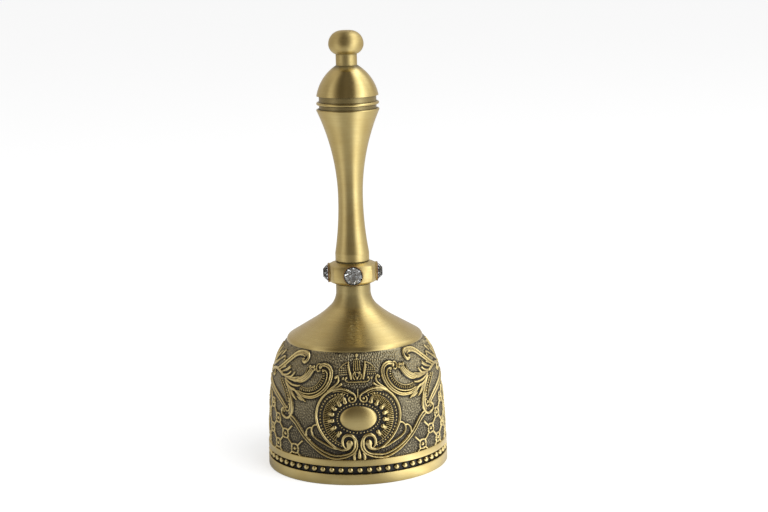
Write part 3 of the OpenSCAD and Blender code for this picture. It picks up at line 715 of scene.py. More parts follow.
ridge(drawn_in([(19.2, 28.45), (17.4, 28.2), (15.8, 28.35), (14.5, 28.75), (13.4, 29.4), (12.5, 30.25),
                (11.9, 31.3), (11.7, 32.2)]), 0.28, 0.32)
ridge([(12.9, 35.3), (13.5, 35.15), (13.95, 34.5), (13.75, 33.65), (13.15, 33.25), (12.5, 33.5)],
      [0.4, 0.5, 0.55, 0.5, 0.5], 0.52)
tell("C scrolls")

# %% [markdown]
# ### The horns and their leaves
# A fluted horn rises beside each big scroll. Its stem runs towards the side of the bell and leaves grow
# from it above and below. The horn is a broad low ridge with three narrow ones laid over it as flutes. A
# leaf is a ridge that swells and thins again, some of them with a vein.

# %% The horns and their leaves
ridge(drawn_in([(27.0, 29.9), (24.5, 29.95), (22.5, 29.9), (20.6, 30.05), (19.0, 30.4), (17.6, 31.2),
                (16.5, 32.2), (15.8, 33.3)]), [0.5, 0.9, 1.2, 1.5, 1.8, 2.1, 2.2, 1.9],
      [0.35, 0.42, 0.45, 0.48, 0.48, 0.46])
for off in (-0.62, 0.0, 0.62):                     # broad flutes
    ridge(drawn_in([(21.4, 30.0 - 0.4 * off), (19.6, 30.2 - 0.85 * off), (18.2 - 0.3 * off, 30.8 - 0.9 * off),
                    (17.0 - 0.6 * off, 31.75 - 0.8 * off), (16.15 - 0.85 * off, 32.8 - 0.5 * off),
                    (15.75 - 0.95 * off, 33.5 - 0.3 * off)]), [0.4, 0.6, 0.66, 0.66], [0.55, 0.68])
ridge(drawn_in([(20.8, 30.8), (19.4, 31.2), (18.3, 32.0), (17.8, 33.0), (17.75, 33.8)]),
      [0.3, 0.5, 0.4, 0.3], 0.45)
for s, z, r in ((16.6, 34.25, 0.5), (15.75, 34.15, 0.45), (15.05, 34.3, 0.52), (14.5, 33.6, 0.42)):
    dot(s, z, r, 0.64)
ridge(drawn_in([(27.5, 30.2), (25.4, 30.35), (23.5, 30.4), (21.6, 30.8), (20.6, 31.0)]),
      [0.5, 0.5, 0.4], 0.45)
ridge(drawn_in([(27.0, 29.7), (25.2, 29.0), (23.2, 28.45), (21.2, 28.4), (19.8, 28.65)]),
      [0.6, 0.7, 0.75, 0.55], [0.45, 0.54, 0.5])
ridge(drawn_in([(28.5, 30.3), (26.2, 30.3), (24.3, 30.6), (23.4, 31.3), (22.9, 32.1)]), [0.4, 0.7, 0.8, 0.6],
      [0.4, 0.54, 0.5])
ridge(drawn_in([(28.5, 30.6), (26.8, 30.8), (25.6, 31.3), (24.8, 32.0)]), [0.4, 0.7, 0.6], [0.4, 0.54, 0.5])
ridge(drawn_in([(30.0, 31.2), (28.2, 31.8), (26.8, 32.4), (25.9, 33.1)]), [0.4, 0.8, 0.95],
      [0.35, 0.52, 0.52], veined)
ridge(drawn_in([(31.5, 31.6), (30.0, 32.4), (28.6, 32.9)]), [0.4, 0.65, 0.65], [0.35, 0.48, 0.44])
ridge(drawn_in([(27.0, 29.6), (25.3, 28.3), (23.6, 27.4), (21.9, 27.1), (21.0, 26.8)]),
      [0.6, 0.85, 0.95, 0.65], [0.45, 0.54, 0.5])
ridge(drawn_in([(24.2, 27.4), (23.0, 26.4), (22.0, 25.4), (20.7, 24.4)]), [0.6, 1.1, 1.1, 0.4],
      [0.45, 0.56, 0.48], veined)
ridge(drawn_in([(21.8, 27.2), (20.4, 26.4), (19.2, 25.6), (18.2, 25.0), (17.1, 24.3)]),
      [0.5, 1.0, 1.1, 0.8, 0.35], [0.45, 0.58, 0.5], veined)
ridge(drawn_in([(20.4, 25.4), (19.3, 24.8), (18.3, 24.5)]), [0.5, 0.7, 0.35], [0.45, 0.5, 0.4])
tell("horns and leaves")

# %% [markdown]
# ### The beaded stem
# From the stem an S scroll swings down into a volute and carries a row of pearls. A broad low ridge lies
# between its two rails, so that they stand on one bed and not on the bare ground.

# %% The beaded stem
stem_out = drawn_in([(26.4, 29.0), (24.9, 27.6), (23.9, 26.3), (23.1, 25.0), (22.55, 23.5), (22.3, 22.2),
                     (22.35, 20.8), (22.9, 19.6), (24.0, 18.6), (25.3, 18.3), (26.5, 18.65), (27.3, 19.5),
                     (27.35, 20.5), (26.8, 21.05), (26.15, 20.75), (26.0, 20.1)])
ridge(stem_out, [0.6, 0.8, 1.0, 1.0, 0.9, 0.75, 0.65, 0.5], HIGH)
ridge(drawn_in([(24.3, 25.6), (23.75, 24.2), (23.45, 22.8), (23.5, 21.5), (23.95, 20.7), (24.7, 20.4),
                (25.35, 20.8), (25.45, 21.6)]), [0.35, 0.55, 0.6, 0.55, 0.45], 0.55)
ridge(drawn_in([(23.5, 24.2), (23.0, 22.6), (22.95, 21.2), (23.6, 19.9)]), 1.3, 0.42)
pearl_row(drawn_in([(29.0, 29.3), (27.2, 27.9), (25.9, 26.7), (24.95, 25.3), (24.4, 23.9), (24.2, 22.5)]),
          0.85, 0.33, 0.4)
ridge(drawn_in([(30.2, 29.2), (28.2, 27.6), (26.7, 26.2), (25.7, 24.8), (25.1, 23.3)]),
      [0.35, 0.45, 0.35], 0.44)
dot(24.4, 21.6, 0.48, 0.52)
tell("beaded stem")

# %% [markdown]
# ### Ribbon and trellis
# A ribbon with two rails goes from the volute to the side. Below it lies a trellis of bars, with a small
# four-petalled knot where they cross. The knots stand in staggered rows.

# %% Ribbon and trellis
ridge([(25.2, 22.0), (27.0, 23.2), (29.0, 24.2), (31.0, 25.0), (33.5, 25.9), (36.0, 26.7), (39.0, 27.5),
       (41.7, 27.85), (43.5, 27.8)], 0.68, 0.58)
ridge([(25.6, 21.3), (27.6, 22.4), (30.0, 23.5), (33.0, 24.6), (36.0, 25.5), (39.0, 26.3), (41.7, 26.6),
       (43.5, 26.5)], 0.62, 0.55)
ridge([(26.0, 22.0), (30.0, 24.0), (34.0, 25.5), (38.0, 26.65), (42.0, 27.2)], 0.9, 0.3)
CELL_S, CELL_Z = QUARTER / 5, 7.6                  # mm, width and height of a cell of the trellis
TRELLIS_FROM = 16.5                                # mm round, where the trellis begins
# mm round and up, the line under the rails and the ribbon
RAIL_S = [16, 18, 20, 22, 24, 25, 27.6, 30, 33, 36, 39, 42]
RAIL_Z = [12.6, 14.2, 16.1, 17.9, 18.0, 18.3, 20.3, 22.6, 23.9, 24.8, 25.6, 25.9]


def in_trellis(s, z):
    """Whether a place lies below the rails and the ribbon, where the trellis shows."""
    return s > TRELLIS_FROM and z < np.interp(s, RAIL_S, RAIL_Z)


knots = [(QUARTER - CELL_S * (k + (n % 2) / 2), 6.0 + CELL_Z / 2 * n)
         for k in range(-1, 7) for n in range(-1, 6)]
for s, z in knots:
    if not in_trellis(s, z + 1.0):
        continue
    dot(s, z, 0.58, 0.6)
    for a in (45, 135, 225, 315):                  # petals
        c, n = math.cos(math.radians(a)), math.sin(math.radians(a))
        ridge([(s + 1.1 * c + 0.8 * n, z + 1.1 * n - 0.8 * c), (s + 1.55 * c, z + 1.55 * n),
               (s + 1.1 * c - 0.8 * n, z + 1.1 * n + 0.8 * c)], 0.6, 0.52)
    for side in (-1, 1):                           # bars to the next row up, and from the row below
        for way in (-1, 1):
            near = (s + 0.3 * side * CELL_S / 2, z + 0.3 * way * CELL_Z / 2)
            end = (s + 0.7 * side * CELL_S / 2, z + 0.7 * way * CELL_Z / 2)
            if in_trellis(min(near[0], end[0]), max(near[1], end[1]) + 0.4):
                ridge([near, end], 0.66, 0.52, curved=False)
print("knots in the trellis:", sum(in_trellis(s, z + 1.0) for s, z in knots))

# %% [markdown]
# ### Upper scroll and palmette
# Above the ribbon an upper scroll curls near the crown's edge, and a palmette marks the side of the bell.
# Its leaves fan out from one place, so a loop draws them from their tips, bends and widths. The middle leaf
# lies where two quarters mirror each other, so the sheet holds only half of it.

# %% Upper scroll and palmette
ridge(drawn_in([(34.5, 31.3), (33.0, 31.8), (31.0, 32.9), (29.0, 34.3), (27.0, 35.8), (25.6, 36.9),
                (24.3, 37.6), (23.0, 38.0), (21.5, 38.15), (20.2, 38.0), (19.2, 37.6), (18.55, 36.9),
                (18.5, 36.2), (19.0, 35.55), (19.8, 35.25), (20.55, 35.5), (20.75, 36.0)]),
      [0.55, 0.65, 0.7, 0.75, 0.85, 0.95, 1.0, 0.95, 0.65], HIGH)
ridge(drawn_in([(33.0, 31.0), (31.0, 31.8), (29.0, 33.2), (27.0, 34.7), (25.4, 35.9), (24.0, 36.7),
                (22.6, 37.0), (21.2, 36.95), (20.3, 36.7)]), [0.35, 0.5, 0.55, 0.5], 0.52)
pearl_row(drawn_in([(31.5, 32.2), (29.5, 33.5), (27.5, 35.0), (25.6, 36.35), (24.2, 37.1), (22.8, 37.5),
                    (21.2, 37.5)]), 0.7, 0.27, 0.45)
ridge(drawn_in([(25.5, 36.3), (23.5, 37.3), (21.0, 37.5), (19.8, 37.2)]), [0.6, 0.9, 0.9], 0.4)
dot(20.2, 35.9, 0.5, 0.6)
ridge([(28.5, 30.4), (31.0, 31.0), (34.0, 31.3), (37.0, 30.9), (39.0, 30.0), (40.3, 29.2), (41.0, 28.9)],
      [0.8, 0.9, 0.8, 0.6], 0.52, veined)
ridge([(35.8, 30.6), (35.1, 29.8), (35.3, 29.0), (36.2, 28.9), (36.5, 29.5)], [0.6, 0.6, 0.4], 0.48)
leaves = (((41.65, 37.6), (41.65, 34.2), 1.5), ((38.4, 37.2), (40.2, 34.2), 1.3),
          ((35.2, 36.3), (38.6, 33.6), 1.15), ((33.4, 34.3), (36.8, 32.6), 0.95))
for tip, bend, width in leaves:
    ridge([(41.4 if tip[0] > 41 else 40.6, 31.0), bend, tip], [0.6, width, 0.35], [0.4, 0.58, 0.4], veined)
ridge([(34.3, 35.3), (33.2, 36.2), (32.4, 37.0)], [0.5, 0.8, 0.35], 0.45, veined)
ridge([(33.0, 34.4), (31.6, 35.2), (30.4, 35.1), (30.1, 34.5), (30.8, 34.2)], [0.5, 0.7, 0.5, 0.4], 0.48)
dot(41.65, 30.3, 0.75, 0.6)
dot(41.65, 28.95, 0.45, 0.5)
for k in range(3):
    dot(40.2 - 0.9 * k, 29.3 - 0.25 * k, 0.3, 0.35)
tell("upper scroll and palmette")
print("highest stroke %.2f mm" % relief.max())

# %% [markdown]
# ## The ground of the field
# Between the ornaments the founder's mould was stippled: short bright worms on a dark ground, about 0.8 mm
# apart. Waves of that length and of all directions have crests of just this shape. They are drawn all round
# the bell, so that the mirrored quarters don't look mirrored.

# %% The ground of the field
AROUND = 4 * COLS
WORM_WAVE, WORM_HEIGHT = 0.8, 0.15         # mm
UNEVEN_WAVE, UNEVEN = 1.6, 0.012           # mm, a cast surface is never quite smooth
BARE_BELOW = 0.12                          # mm, lower than this the strokes leave the ground bare
JOINT_FADE = 0.7                           # mm below the joint, over which the pattern ends
chance = np.random.default_rng(11)


def waves(length, spread=0.3):
    """Seamless waves of one length in mm and of all directions, about 1 high."""
    noise = np.fft.fft2(chance.standard_normal((ROWS + 1, AROUND)))
    fy, fx = np.meshgrid(np.fft.fftfreq(ROWS + 1), np.fft.fftfreq(AROUND), indexing="ij")
    band = np.exp(-((np.hypot(fy, fx) * length / PITCH - 1) / spread) ** 2)
    noise = np.fft.ifft2(noise * band).real
    return noise / noise.std()


def softened(sheet, width):
    """The sheet blurred over a width in mm."""
    fy, fx = np.meshgrid(np.fft.fftfreq(len(sheet)), np.fft.fftfreq(AROUND), indexing="ij")
    fade = np.exp(-2 * (math.pi * np.hypot(fy, fx) * width / PITCH) ** 2)
    return np.fft.ifft2(np.fft.fft2(sheet) * fade).real


quarter = np.arange(AROUND) // COLS
column = np.arange(AROUND) % COLS
column = np.where(quarter % 2 == 0, column, COLS - column)
heights = np.linspace(FIELD_LOW, FIELD_HIGH, ROWS + 1)
near_joint = np.clip((FIELD_HIGH - heights) / JOINT_FADE, 0, 1)[:, None]
carved = relief[:, column] * near_joint
bare = np.clip(1 - carved / BARE_BELOW, 0, 1)
worms = np.clip(0.15 + 0.65 * waves(WORM_WAVE, 0.32) + 0.2 * waves(WORM_WAVE / 2, 0.3), 0, 1)
stand = carved + bare * near_joint * WORM_HEIGHT * worms + UNEVEN * waves(UNEVEN_WAVE) * near_joint
print("height of the field: up to %.2f mm" % stand.max())

# %% [markdown]
# ### What the rubbing pad reached
# After casting, the skirt was blackened all over and rubbed with a pad. The pad shines the strokes, touches
# the worms of the ground, and leaves a black line along the foot of every stroke. That is noted here for
# each point, from 0 for black to 1 for bare brass. The shading normals are also taken here, from the whole
# field at once.

# %% What the rubbing pad reached
HALO, HALO_FULL, HALO_DARK = 0.42, 0.15, 0.92      # mm, the black line along a stroke and its strength
STROKE_FULL = 0.16                                 # mm over bare, from where a stroke is rubbed in full
PAD_WIDTH, PAD_DEPTH, PAD_EVEN = 0.5, 0.15, 0.6    # mm, how finely the pad feels what stands proud
FOOT_RUB = 0.15                                    # what the pad leaves on the low parts of a stroke
GROUND_RUB, WORM_RUB, SHOULDER_RUB = 0.18, 0.26, 0.2
SHOULDER_FROM, SHOULDER_OVER = 14, 16              # mm up, where the pad begins to run harder, and how soon
DARK_HALF_W, DARK_HALF_H = 10.0, 7.3               # mm, the oval round the boss that the pad missed
DARK_FADE, DARK_RUB = 0.35, 0.15

beside = np.clip(softened(carved, HALO) / HALO_FULL, 0, 1)
stroke = np.clip((carved - BARE_BELOW) / STROKE_FULL, 0, 1)
proud = np.clip((stand - softened(stand, PAD_WIDTH)) / PAD_DEPTH + PAD_EVEN, 0, 1)
shoulder = np.clip((heights - SHOULDER_FROM) / SHOULDER_OVER, 0, 1)[:, None]
ground_rub = (GROUND_RUB + SHOULDER_RUB * shoulder + WORM_RUB * worms) * (1 - HALO_DARK * beside)
from_boss = np.hypot(across / DARK_HALF_W, (up - BOSS_UP) / DARK_HALF_H)[:, column]
ground_rub *= np.clip((from_boss - 1) / DARK_FADE, DARK_RUB, 1)
rubbed = np.maximum(ground_rub * bare, stroke * (FOOT_RUB + (1 - FOOT_RUB) * proud))
s_all = np.arange(AROUND) * PITCH
field = on_skirt(s_all[None, :], heights[:, None], stand)
along_s = np.roll(field, -1, 1) - np.roll(field, 1, 1)
along_z = np.gradient(field, axis=0)
facing = np.cross(along_s, along_z)
facing /= np.linalg.norm(facing, axis=-1, keepdims=True)
print("rubbed to brass: %.0f %% of the field" % (100 * (rubbed > 0.6).mean()))

# %% [markdown]
# ## Cast relief finish
# The blackening bath stays black at the foot of every stroke and leaves the open ground a dull grey olive.
# The tops shine in warm brass. The mesh carries an attribute that says how much each point was rubbed, and
# the colour, the metal and the gloss all follow it. A little noise breaks the edge.

# %% Cast relief finish
BATH_BLACK, BATH_GREY = "#100e0b", "#504a3d"
WORM_BRASS, PAD_BRASS, TOP_BRASS = "#a2997c", "#c0a96e", "#e2cf92"
RUB_STEPS = ((0.2, BATH_GREY), (0.5, WORM_BRASS), (0.78, PAD_BRASS))
PAD_GRAIN, SAND_GRAIN = 0.35 * MM, 0.18 * MM
PAD_NOISE = 0.18                     # how uneven the rubbing is
BATH_METAL, BATH_ROUGH = 0.3, 0.38   # the black film is rough and hardly metallic


def note_rubbed(piece, values):
    """Stores how far each point of a piece was rubbed, from 0 for black to 1 for bare brass."""
    piece.data.attributes.new("rubbed", "FLOAT", "POINT").data.foreach_set("value", values)


def cast_brass(name, gloss):
    """Blackened brass, rubbed bright where the attribute says so."""
    material, tree = new_tree(name)
    where = add_node(tree, "TexCoord")
    worn = add_node(tree, "Attribute", attribute_name="rubbed")
    grain = add_node(tree, "TexNoise", {"Vector": where.outputs["Object"], "Scale": 1 / PAD_GRAIN,
                                        "Detail": 2.0})
    uneven = add_node(tree, "Math", {0: grain, 1: PAD_NOISE, 2: -PAD_NOISE / 2}, operation="MULTIPLY_ADD")
    worn = add_node(tree, "Math", {0: worn.outputs["Fac"], 1: uneven}, operation="ADD", use_clamp=True)
    colour = add_node(tree, "ValToRGB", {0: worn})
    points = colour.color_ramp.elements
    points[0].color, points[1].color = linear(BATH_BLACK), linear(TOP_BRASS)
    for step, tone in RUB_STEPS:
        points.new(step).color = linear(tone)
    metal = add_node(tree, "MapRange", {"Value": worn, "From Max": 0.2, "To Min": BATH_METAL, "To Max": 1.0})
    rough = add_node(tree, "MapRange", {"Value": worn, "To Min": BATH_ROUGH, "To Max": gloss})
    fine = add_node(tree, "TexNoise", {"Vector": where.outputs["Object"], "Scale": 1 / SAND_GRAIN,
                                       "Detail": 2.0})
    bump = add_node(tree, "Bump", {"Height": fine, "Strength": 0.35, "Distance": 0.03 * MM})
    shader = add_node(tree, "BsdfPrincipled", {"Base Color": colour, "Metallic": metal,
                                               "Roughness": rough, "Normal": bump,
                                               "Coat Weight": 0.1, "Coat Roughness": 0.2})
    add_node(tree, "OutputMaterial", {"Surface": shader})
    return material


relief_brass = cast_brass("antique_brass_cast_relief", 0.27)
print("finish:", relief_brass.name)

# %% [markdown]
# ## The four panels of the field
# One mesh of the whole field would be too heavy to handle, so it is made as four panels, a quarter turn
# each, with their joints beside the cartouches. A blank panel is a fine grid, with a coarse grid behind it
# and a rim between them, so that it is a closed plate. Copies of it are wrapped round the skirt. The
# shading normals come from the whole field, so no joint shows.

# %% The blank panel
BACK_COLS, PLATE = 8, 0.55                 # cells across the back, and the plate's thickness in mm
STEP = COLS // BACK_COLS
BEHIND = 0.1                               # how far the blank's back lies behind its front

bpy.ops.object.select_all(action="DESELECT")
bpy.ops.mesh.primitive_grid_add(x_subdivisions=BACK_COLS, y_subdivisions=ROWS, size=1,
                                location=(0, 0, -BEHIND))
back = bpy.context.object
bpy.ops.mesh.primitive_grid_add(x_subdivisions=COLS, y_subdivisions=ROWS, size=1)
blank = bpy.context.object
back.select_set(True)
bpy.ops.object.join()

bpy.ops.object.mode_set(mode="EDIT")
shape = bmesh.from_edit_mesh(blank.data)
spot = {(round((v.co.x + 0.5) * COLS), round((v.co.y + 0.5) * ROWS), v.co.z < -BEHIND / 2): v
        for v in shape.verts}
for u in (0, COLS):
    for v in range(ROWS):
        shape.faces.new([spot[u, v, False], spot[u, v + 1, False], spot[u, v + 1, True], spot[u, v, True]])
for v in (0, ROWS):
    for u in range(0, COLS, STEP):
        edge = [spot[u + k, v, False] for k in range(STEP + 1)]
        shape.faces.new(edge + [spot[u + STEP, v, True], spot[u, v, True]])
bmesh.update_edit_mesh(blank.data)
bpy.ops.mesh.select_all(action="SELECT")
bpy.ops.mesh.normals_make_consistent(inside=False)
bpy.ops.object.mode_set(mode="OBJECT")
bpy.ops.object.shade_smooth()
print("blank panel:", len(blank.data.polygons), "faces")


# %% [markdown]
# ### Wrapping a panel
# Each point of a blank knows its column and row, so its place, its shading normal and how far it was rubbed
# are looked up in the field. The points of the back go to the ground's radius less the plate's thickness.
# Bending the grid with a modifier would be quicker, but the skirt isn't a plain cylinder.

# %% Wrapping a panel
def wrapped(panel, name, first):
    """Wraps a blank panel round the skirt, from a column of the field on."""
    flat = np.empty(len(panel.data.vertices) * 3)
    panel.data.vertices.foreach_get("co", flat)
    x, y, z = flat.reshape(-1, 3).T
    u, v = np.rint((x + 0.5) * COLS).astype(int) + first, np.rint((y + 0.5) * ROWS).astype(int)
    is_back = z < -BEHIND / 2
    place = field[v, u % AROUND]
    place[is_back] = on_skirt(u[is_back] * PITCH, heights[v[is_back]], -PLATE)
    panel.data.vertices.foreach_set("co", place.ravel())
    note_rubbed(panel, np.where(is_back, 0, rubbed[v, u % AROUND]))
    normals = np.where(is_back[:, None], -facing[v, u % AROUND], facing[v, u % AROUND])
    panel.data.normals_split_custom_set_from_vertices(normals)
    panel.data.update()
    panel.name = name
    panel.data.materials.append(relief_brass)
    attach(panel, "bell")
    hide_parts("bell_body")


panels = [blank]
for side in range(3):
    bpy.ops.object.select_all(action="DESELECT")
    blank.select_set(True)
    bpy.context.view_layer.objects.active = blank
    bpy.ops.object.duplicate()
    panels.append(bpy.context.object)
for side, (panel, name) in enumerate(zip(panels, ("front", "right", "back", "left"))):
    wrapped(panel, "field_" + name, side * COLS - COLS // 2)
print("panels:", ", ".join(p.name for p in panels))

# %% [markdown]
# ## Pearls
# On the sheet a pearl would be five cells wide and look rough, so the pearl rows are real half-sunk balls.
# A pearl is so small that four dozen faces make it round. It is modelled once, and its copies are placed on
# the ground, at both sides of each motif, front and back.

# %% Pearls
PEARL_PROUD = 0.12                         # mm, the least that a pearl stands over the relief under it
PEARL_RUB, BEAD_RUB, BALL_GAIN = 0.35, 0.45, 0.9   # how far a ball is rubbed at its middle, more outwards

bpy.ops.object.select_all(action="DESELECT")
bpy.ops.mesh.primitive_uv_sphere_add(segments=8, ring_count=6, radius=1)
pearl = bpy.context.object
ball = np.array([v.co for v in pearl.data.vertices])
ball_faces = [list(p.vertices) for p in pearl.data.polygons]

points, faces, worn = [], [], []
for s, drawn_z, r, top in pearls:
    z = float(lowered(drawn_z))
    i, j = round((z - FIELD_LOW) / (FIELD_HIGH - FIELD_LOW) * ROWS), min(round(s / PITCH), COLS)
    out = max(top, relief[i, j] + PEARL_PROUD) - r
    for place in (s, -s, 2 * QUARTER + s, 2 * QUARTER - s):
        centre = on_skirt(place, z, out)
        outwards = on_skirt(place, z, out + 1) - centre
        faces += [[k + len(points) * len(ball) for k in face] for face in ball_faces]
        points.append(centre + ball * r * MM)
        worn.append(np.clip(PEARL_RUB + BALL_GAIN * (ball @ outwards) / np.linalg.norm(outwards), 0, 1))
pearl.data.clear_geometry()
pearl.data.from_pydata(np.vstack(points), [], faces)
note_rubbed(pearl, np.concatenate(worn))
pearl.name = "field_pearls"
bpy.ops.object.shade_smooth()
pearl.data.materials.append(relief_brass)
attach(pearl, "bell")
print("pearls:", len(points))

# %% [markdown]
# ## Bosses
# The oval boss of the cartouche is smooth and domed, for an engraving. A polished dome would show the cells
# of the sheet, so it is half a ball, cut by a plane, drawn out to an oval and laid on the curved ground.

# %% Bosses
BOSS_HALF_W, BOSS_HALF_H, BOSS_RISE = 5.6, 3.75, 1.0      # mm
SUNK, DOMED = 0.25, 0.7                    # mm under the ground, and how full the dome is

boss_brass = turned_brass("antique_brass_boss", 0.32, 0.2, 0.003 * MM)
for name, middle in (("boss_front", 0.0), ("boss_back", 2 * QUARTER)):
    bpy.ops.object.select_all(action="DESELECT")
    bpy.ops.mesh.primitive_uv_sphere_add(segments=96, ring_count=48, radius=1)
    boss = bpy.context.object
    bpy.ops.object.mode_set(mode="EDIT")
    bpy.ops.mesh.select_all(action="SELECT")
    bpy.ops.mesh.bisect(plane_co=(0, 0, 0), plane_no=(0, 0, 1), clear_inner=True, use_fill=True)
    bpy.ops.object.mode_set(mode="OBJECT")
    flat = np.array([v.co for v in boss.data.vertices])
    bulge = np.maximum(flat[:, 2], 0) ** DOMED
    wrapped_boss = on_skirt(middle + flat[:, 0] * BOSS_HALF_W, lowered(BOSS_UP) + flat[:, 1] * BOSS_HALF_H,
                            bulge * (BOSS_RISE + SUNK) - SUNK)
    boss.data.vertices.foreach_set("co", wrapped_boss.ravel())
    boss.data.update()
    boss.name = name
    bpy.ops.object.shade_smooth_by_angle(angle=math.radians(60))
    boss.data.materials.append(boss_brass)
    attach(boss, "bell")
print("bosses: 2, each %.1f by %.1f mm" % (2 * BOSS_HALF_W, 2 * BOSS_HALF_H))

# %% [markdown]
# ## The skirt's wall and its bands
# Behind the relief the skirt is a plain turned wall. It ends in a smooth lip, a channel for the bead row
# and a smooth belt. A turned piece is half its cross-section, drawn as an outline and spun round the axis.
# The outline is a chain of points extruded one from the other; its corners are rounded by small arcs.

# %% Turning an outline
def rounded(outline, arc_steps=4):
    """Rounds the corners of an outline. A point is (radius, height) or (radius, height, rounding), in mm."""
    made = []
    for k, point in enumerate(outline):
        here = Vector(point[:2])
        if len(point) < 3:
            made.append(here)
            continue
        before, after = Vector(outline[k - 1][:2]) - here, Vector(outline[(k + 1) % len(outline)][:2]) - here
        half = before.angle(after) / 2
        start = here + before.normalized() * (point[2] / math.tan(half))
        end = here + after.normalized() * (point[2] / math.tan(half))
        centre = here + (before.normalized() + after.normalized()).normalized() * (point[2] / math.sin(half))
        a, b = start - centre, end - centre
        turn = a.angle_signed(b)
        for step in range(arc_steps + 1):
            made.append(centre + Matrix.Rotation(-turn * step / arc_steps, 2) @ a)
    return made


def turned(name, outline, steps=192):
    """Spins a closed outline round the bell's axis."""
    bpy.ops.object.select_all(action="DESELECT")
    bpy.ops.mesh.primitive_plane_add(size=MM)
    piece = bpy.context.object
    piece.name = name
    bpy.ops.object.mode_set(mode="EDIT")
    bpy.ops.mesh.merge(type="CENTER")
    bpy.ops.transform.translate(value=(outline[0].x * MM, 0, outline[0].y * MM))
    for here, there in zip(outline, outline[1:] + outline[:1]):
        step = (there - here) * MM
        bpy.ops.mesh.extrude_vertices_move(TRANSFORM_OT_translate={"value": (step.x, 0, step.y)})
    bpy.ops.mesh.select_all(action="SELECT")
    bpy.ops.mesh.spin(steps=steps, angle=math.tau, center=(0, 0, 0), axis=(0, 0, 1))
    bpy.ops.mesh.select_all(action="SELECT")
    bpy.ops.mesh.remove_doubles(threshold=0.002 * MM)
    bpy.ops.mesh.normals_make_consistent(inside=False)
    bpy.ops.object.mode_set(mode="OBJECT")
    bpy.ops.object.shade_smooth_by_angle(angle=math.radians(32))
    return piece


print("a rounded square has", len(rounded([(0, 0, 0.1), (1, 0, 0.1), (1, 1, 0.1), (0, 1, 0.1)])), "points")

# %% [markdown]
# ### The skirt's wall
# The outline goes up the outside, over the lip, the channel and the belt, behind the panels to the joint
# with the crown, and back down the inside. The floor of the channel gets the blackened finish of the
# relief, and all else the smooth brass of the bands.

# %% The skirt's wall
LIP_R, CHANNEL_R, BELT_R, MOUTH_R = 27.49, 26.5, 27.4, 25.0           # mm, outside, and the mouth
FOOT_UP, LIP_TOP, BELT_LOW, BELT_TOP = 0.001, 3.25, 5.6, 7.6          # mm
WALL, SEAT_R, FLANGE_UP = 1.75, 18.804, 36.2                          # mm, the seat takes the crown
EDGE_ROUND, MOUTH_CHAMFER, SMALL_ROUND = 0.35, 0.5, 0.2               # mm
OVERLAP, SHORT_OF_JOINT = 0.1, 0.05                                   # into the panels, and below the crown


def ground_line(low, high, inwards, points):
    """Points of an outline that lies a fixed distance in from the ground of the field."""
    return [Vector((float(ground_radius(z)) - inwards, z)) for z in np.linspace(low, high, points)]


backing = ground_line(BELT_TOP + 0.01, FIELD_HIGH - SHORT_OF_JOINT, PLATE - OVERLAP, 28)
inner = ground_line(FLANGE_UP - 0.9, BELT_TOP, WALL, 26)
outline = (rounded([(MOUTH_R + MOUTH_CHAMFER, FOOT_UP, 0.1), (LIP_R, FOOT_UP, EDGE_ROUND),
                    (LIP_R, LIP_TOP, SMALL_ROUND), (CHANNEL_R, LIP_TOP, 0.25), (CHANNEL_R, BELT_LOW, 0.25),
                    (BELT_R, BELT_LOW, SMALL_ROUND), (BELT_R, BELT_TOP, SMALL_ROUND),
                    (backing[0].x, BELT_TOP)])
           + backing
           + [Vector((SEAT_R, FIELD_HIGH - SHORT_OF_JOINT)), Vector((SEAT_R, FLANGE_UP))]
           + inner
           + [Vector((MOUTH_R, BELT_TOP - 0.5)), Vector((MOUTH_R, MOUTH_CHAMFER))])
wall = turned("skirt_wall", outline)
band_brass = turned_brass("antique_brass_bands", 0.32, 0.45, 0.015 * MM, film=0.85, reach=0.8 * MM,
                          alone=True)
wall.data.materials.append(band_brass)
wall.data.materials.append(relief_brass)
mesh = wall.data
for face in mesh.polygons:
    r = math.hypot(face.center.x, face.center.y) / MM
    in_channel = LIP_TOP - 0.1 < face.center.z / MM < BELT_LOW + 0.1 and MOUTH_R + 0.5 < r < LIP_R - 0.3
    face.material_index = 1 if in_channel else 0
note_rubbed(wall, np.zeros(len(mesh.vertices)))
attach(wall, "bell")
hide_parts("bell_body")
print("skirt wall:", len(outline), "points in its outline,", len(mesh.polygons), "faces")

# %% [markdown]
# ## The bead row
# Sixty beads sit in the channel, one at the middle of the front. One bead is modelled, and the spin tool
# copies it round the axis. The outside of a bead is rubbed bright, its foot in the channel stays black.

# %% The bead row
BEADS, BEAD_D, BEAD_RING_R, BEAD_UP = 60, 1.85, 26.56, 4.4            # how many, and mm


def copy_round(count):
    """Copies the mesh under edit round the bell's axis, at even angles."""
    bpy.ops.mesh.select_all(action="SELECT")
    bpy.ops.mesh.spin(steps=count - 1, angle=math.tau * (count - 1) / count, dupli=True, center=(0, 0, 0),
                      axis=(0, 0, 1))


bpy.ops.object.select_all(action="DESELECT")
bpy.ops.mesh.primitive_uv_sphere_add(segments=24, ring_count=14, radius=BEAD_D / 2 * MM)
beads = bpy.context.object
bpy.ops.object.mode_set(mode="EDIT")
bpy.ops.mesh.select_all(action="SELECT")
bpy.ops.transform.translate(value=(0, -BEAD_RING_R * MM, BEAD_UP * MM))
copy_round(BEADS)
bpy.ops.object.mode_set(mode="OBJECT")
bpy.ops.object.shade_smooth()
beads.name = "bead_row"
place = np.array([v.co for v in beads.data.vertices]) / MM
out = np.hypot(place[:, 0], place[:, 1]) - BEAD_RING_R
note_rubbed(beads, np.clip(BEAD_RUB + BALL_GAIN * out, 0, 1))
beads.data.materials.append(relief_brass)
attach(beads, "bell")
print("bead row:", len(beads.data.vertices), "points")

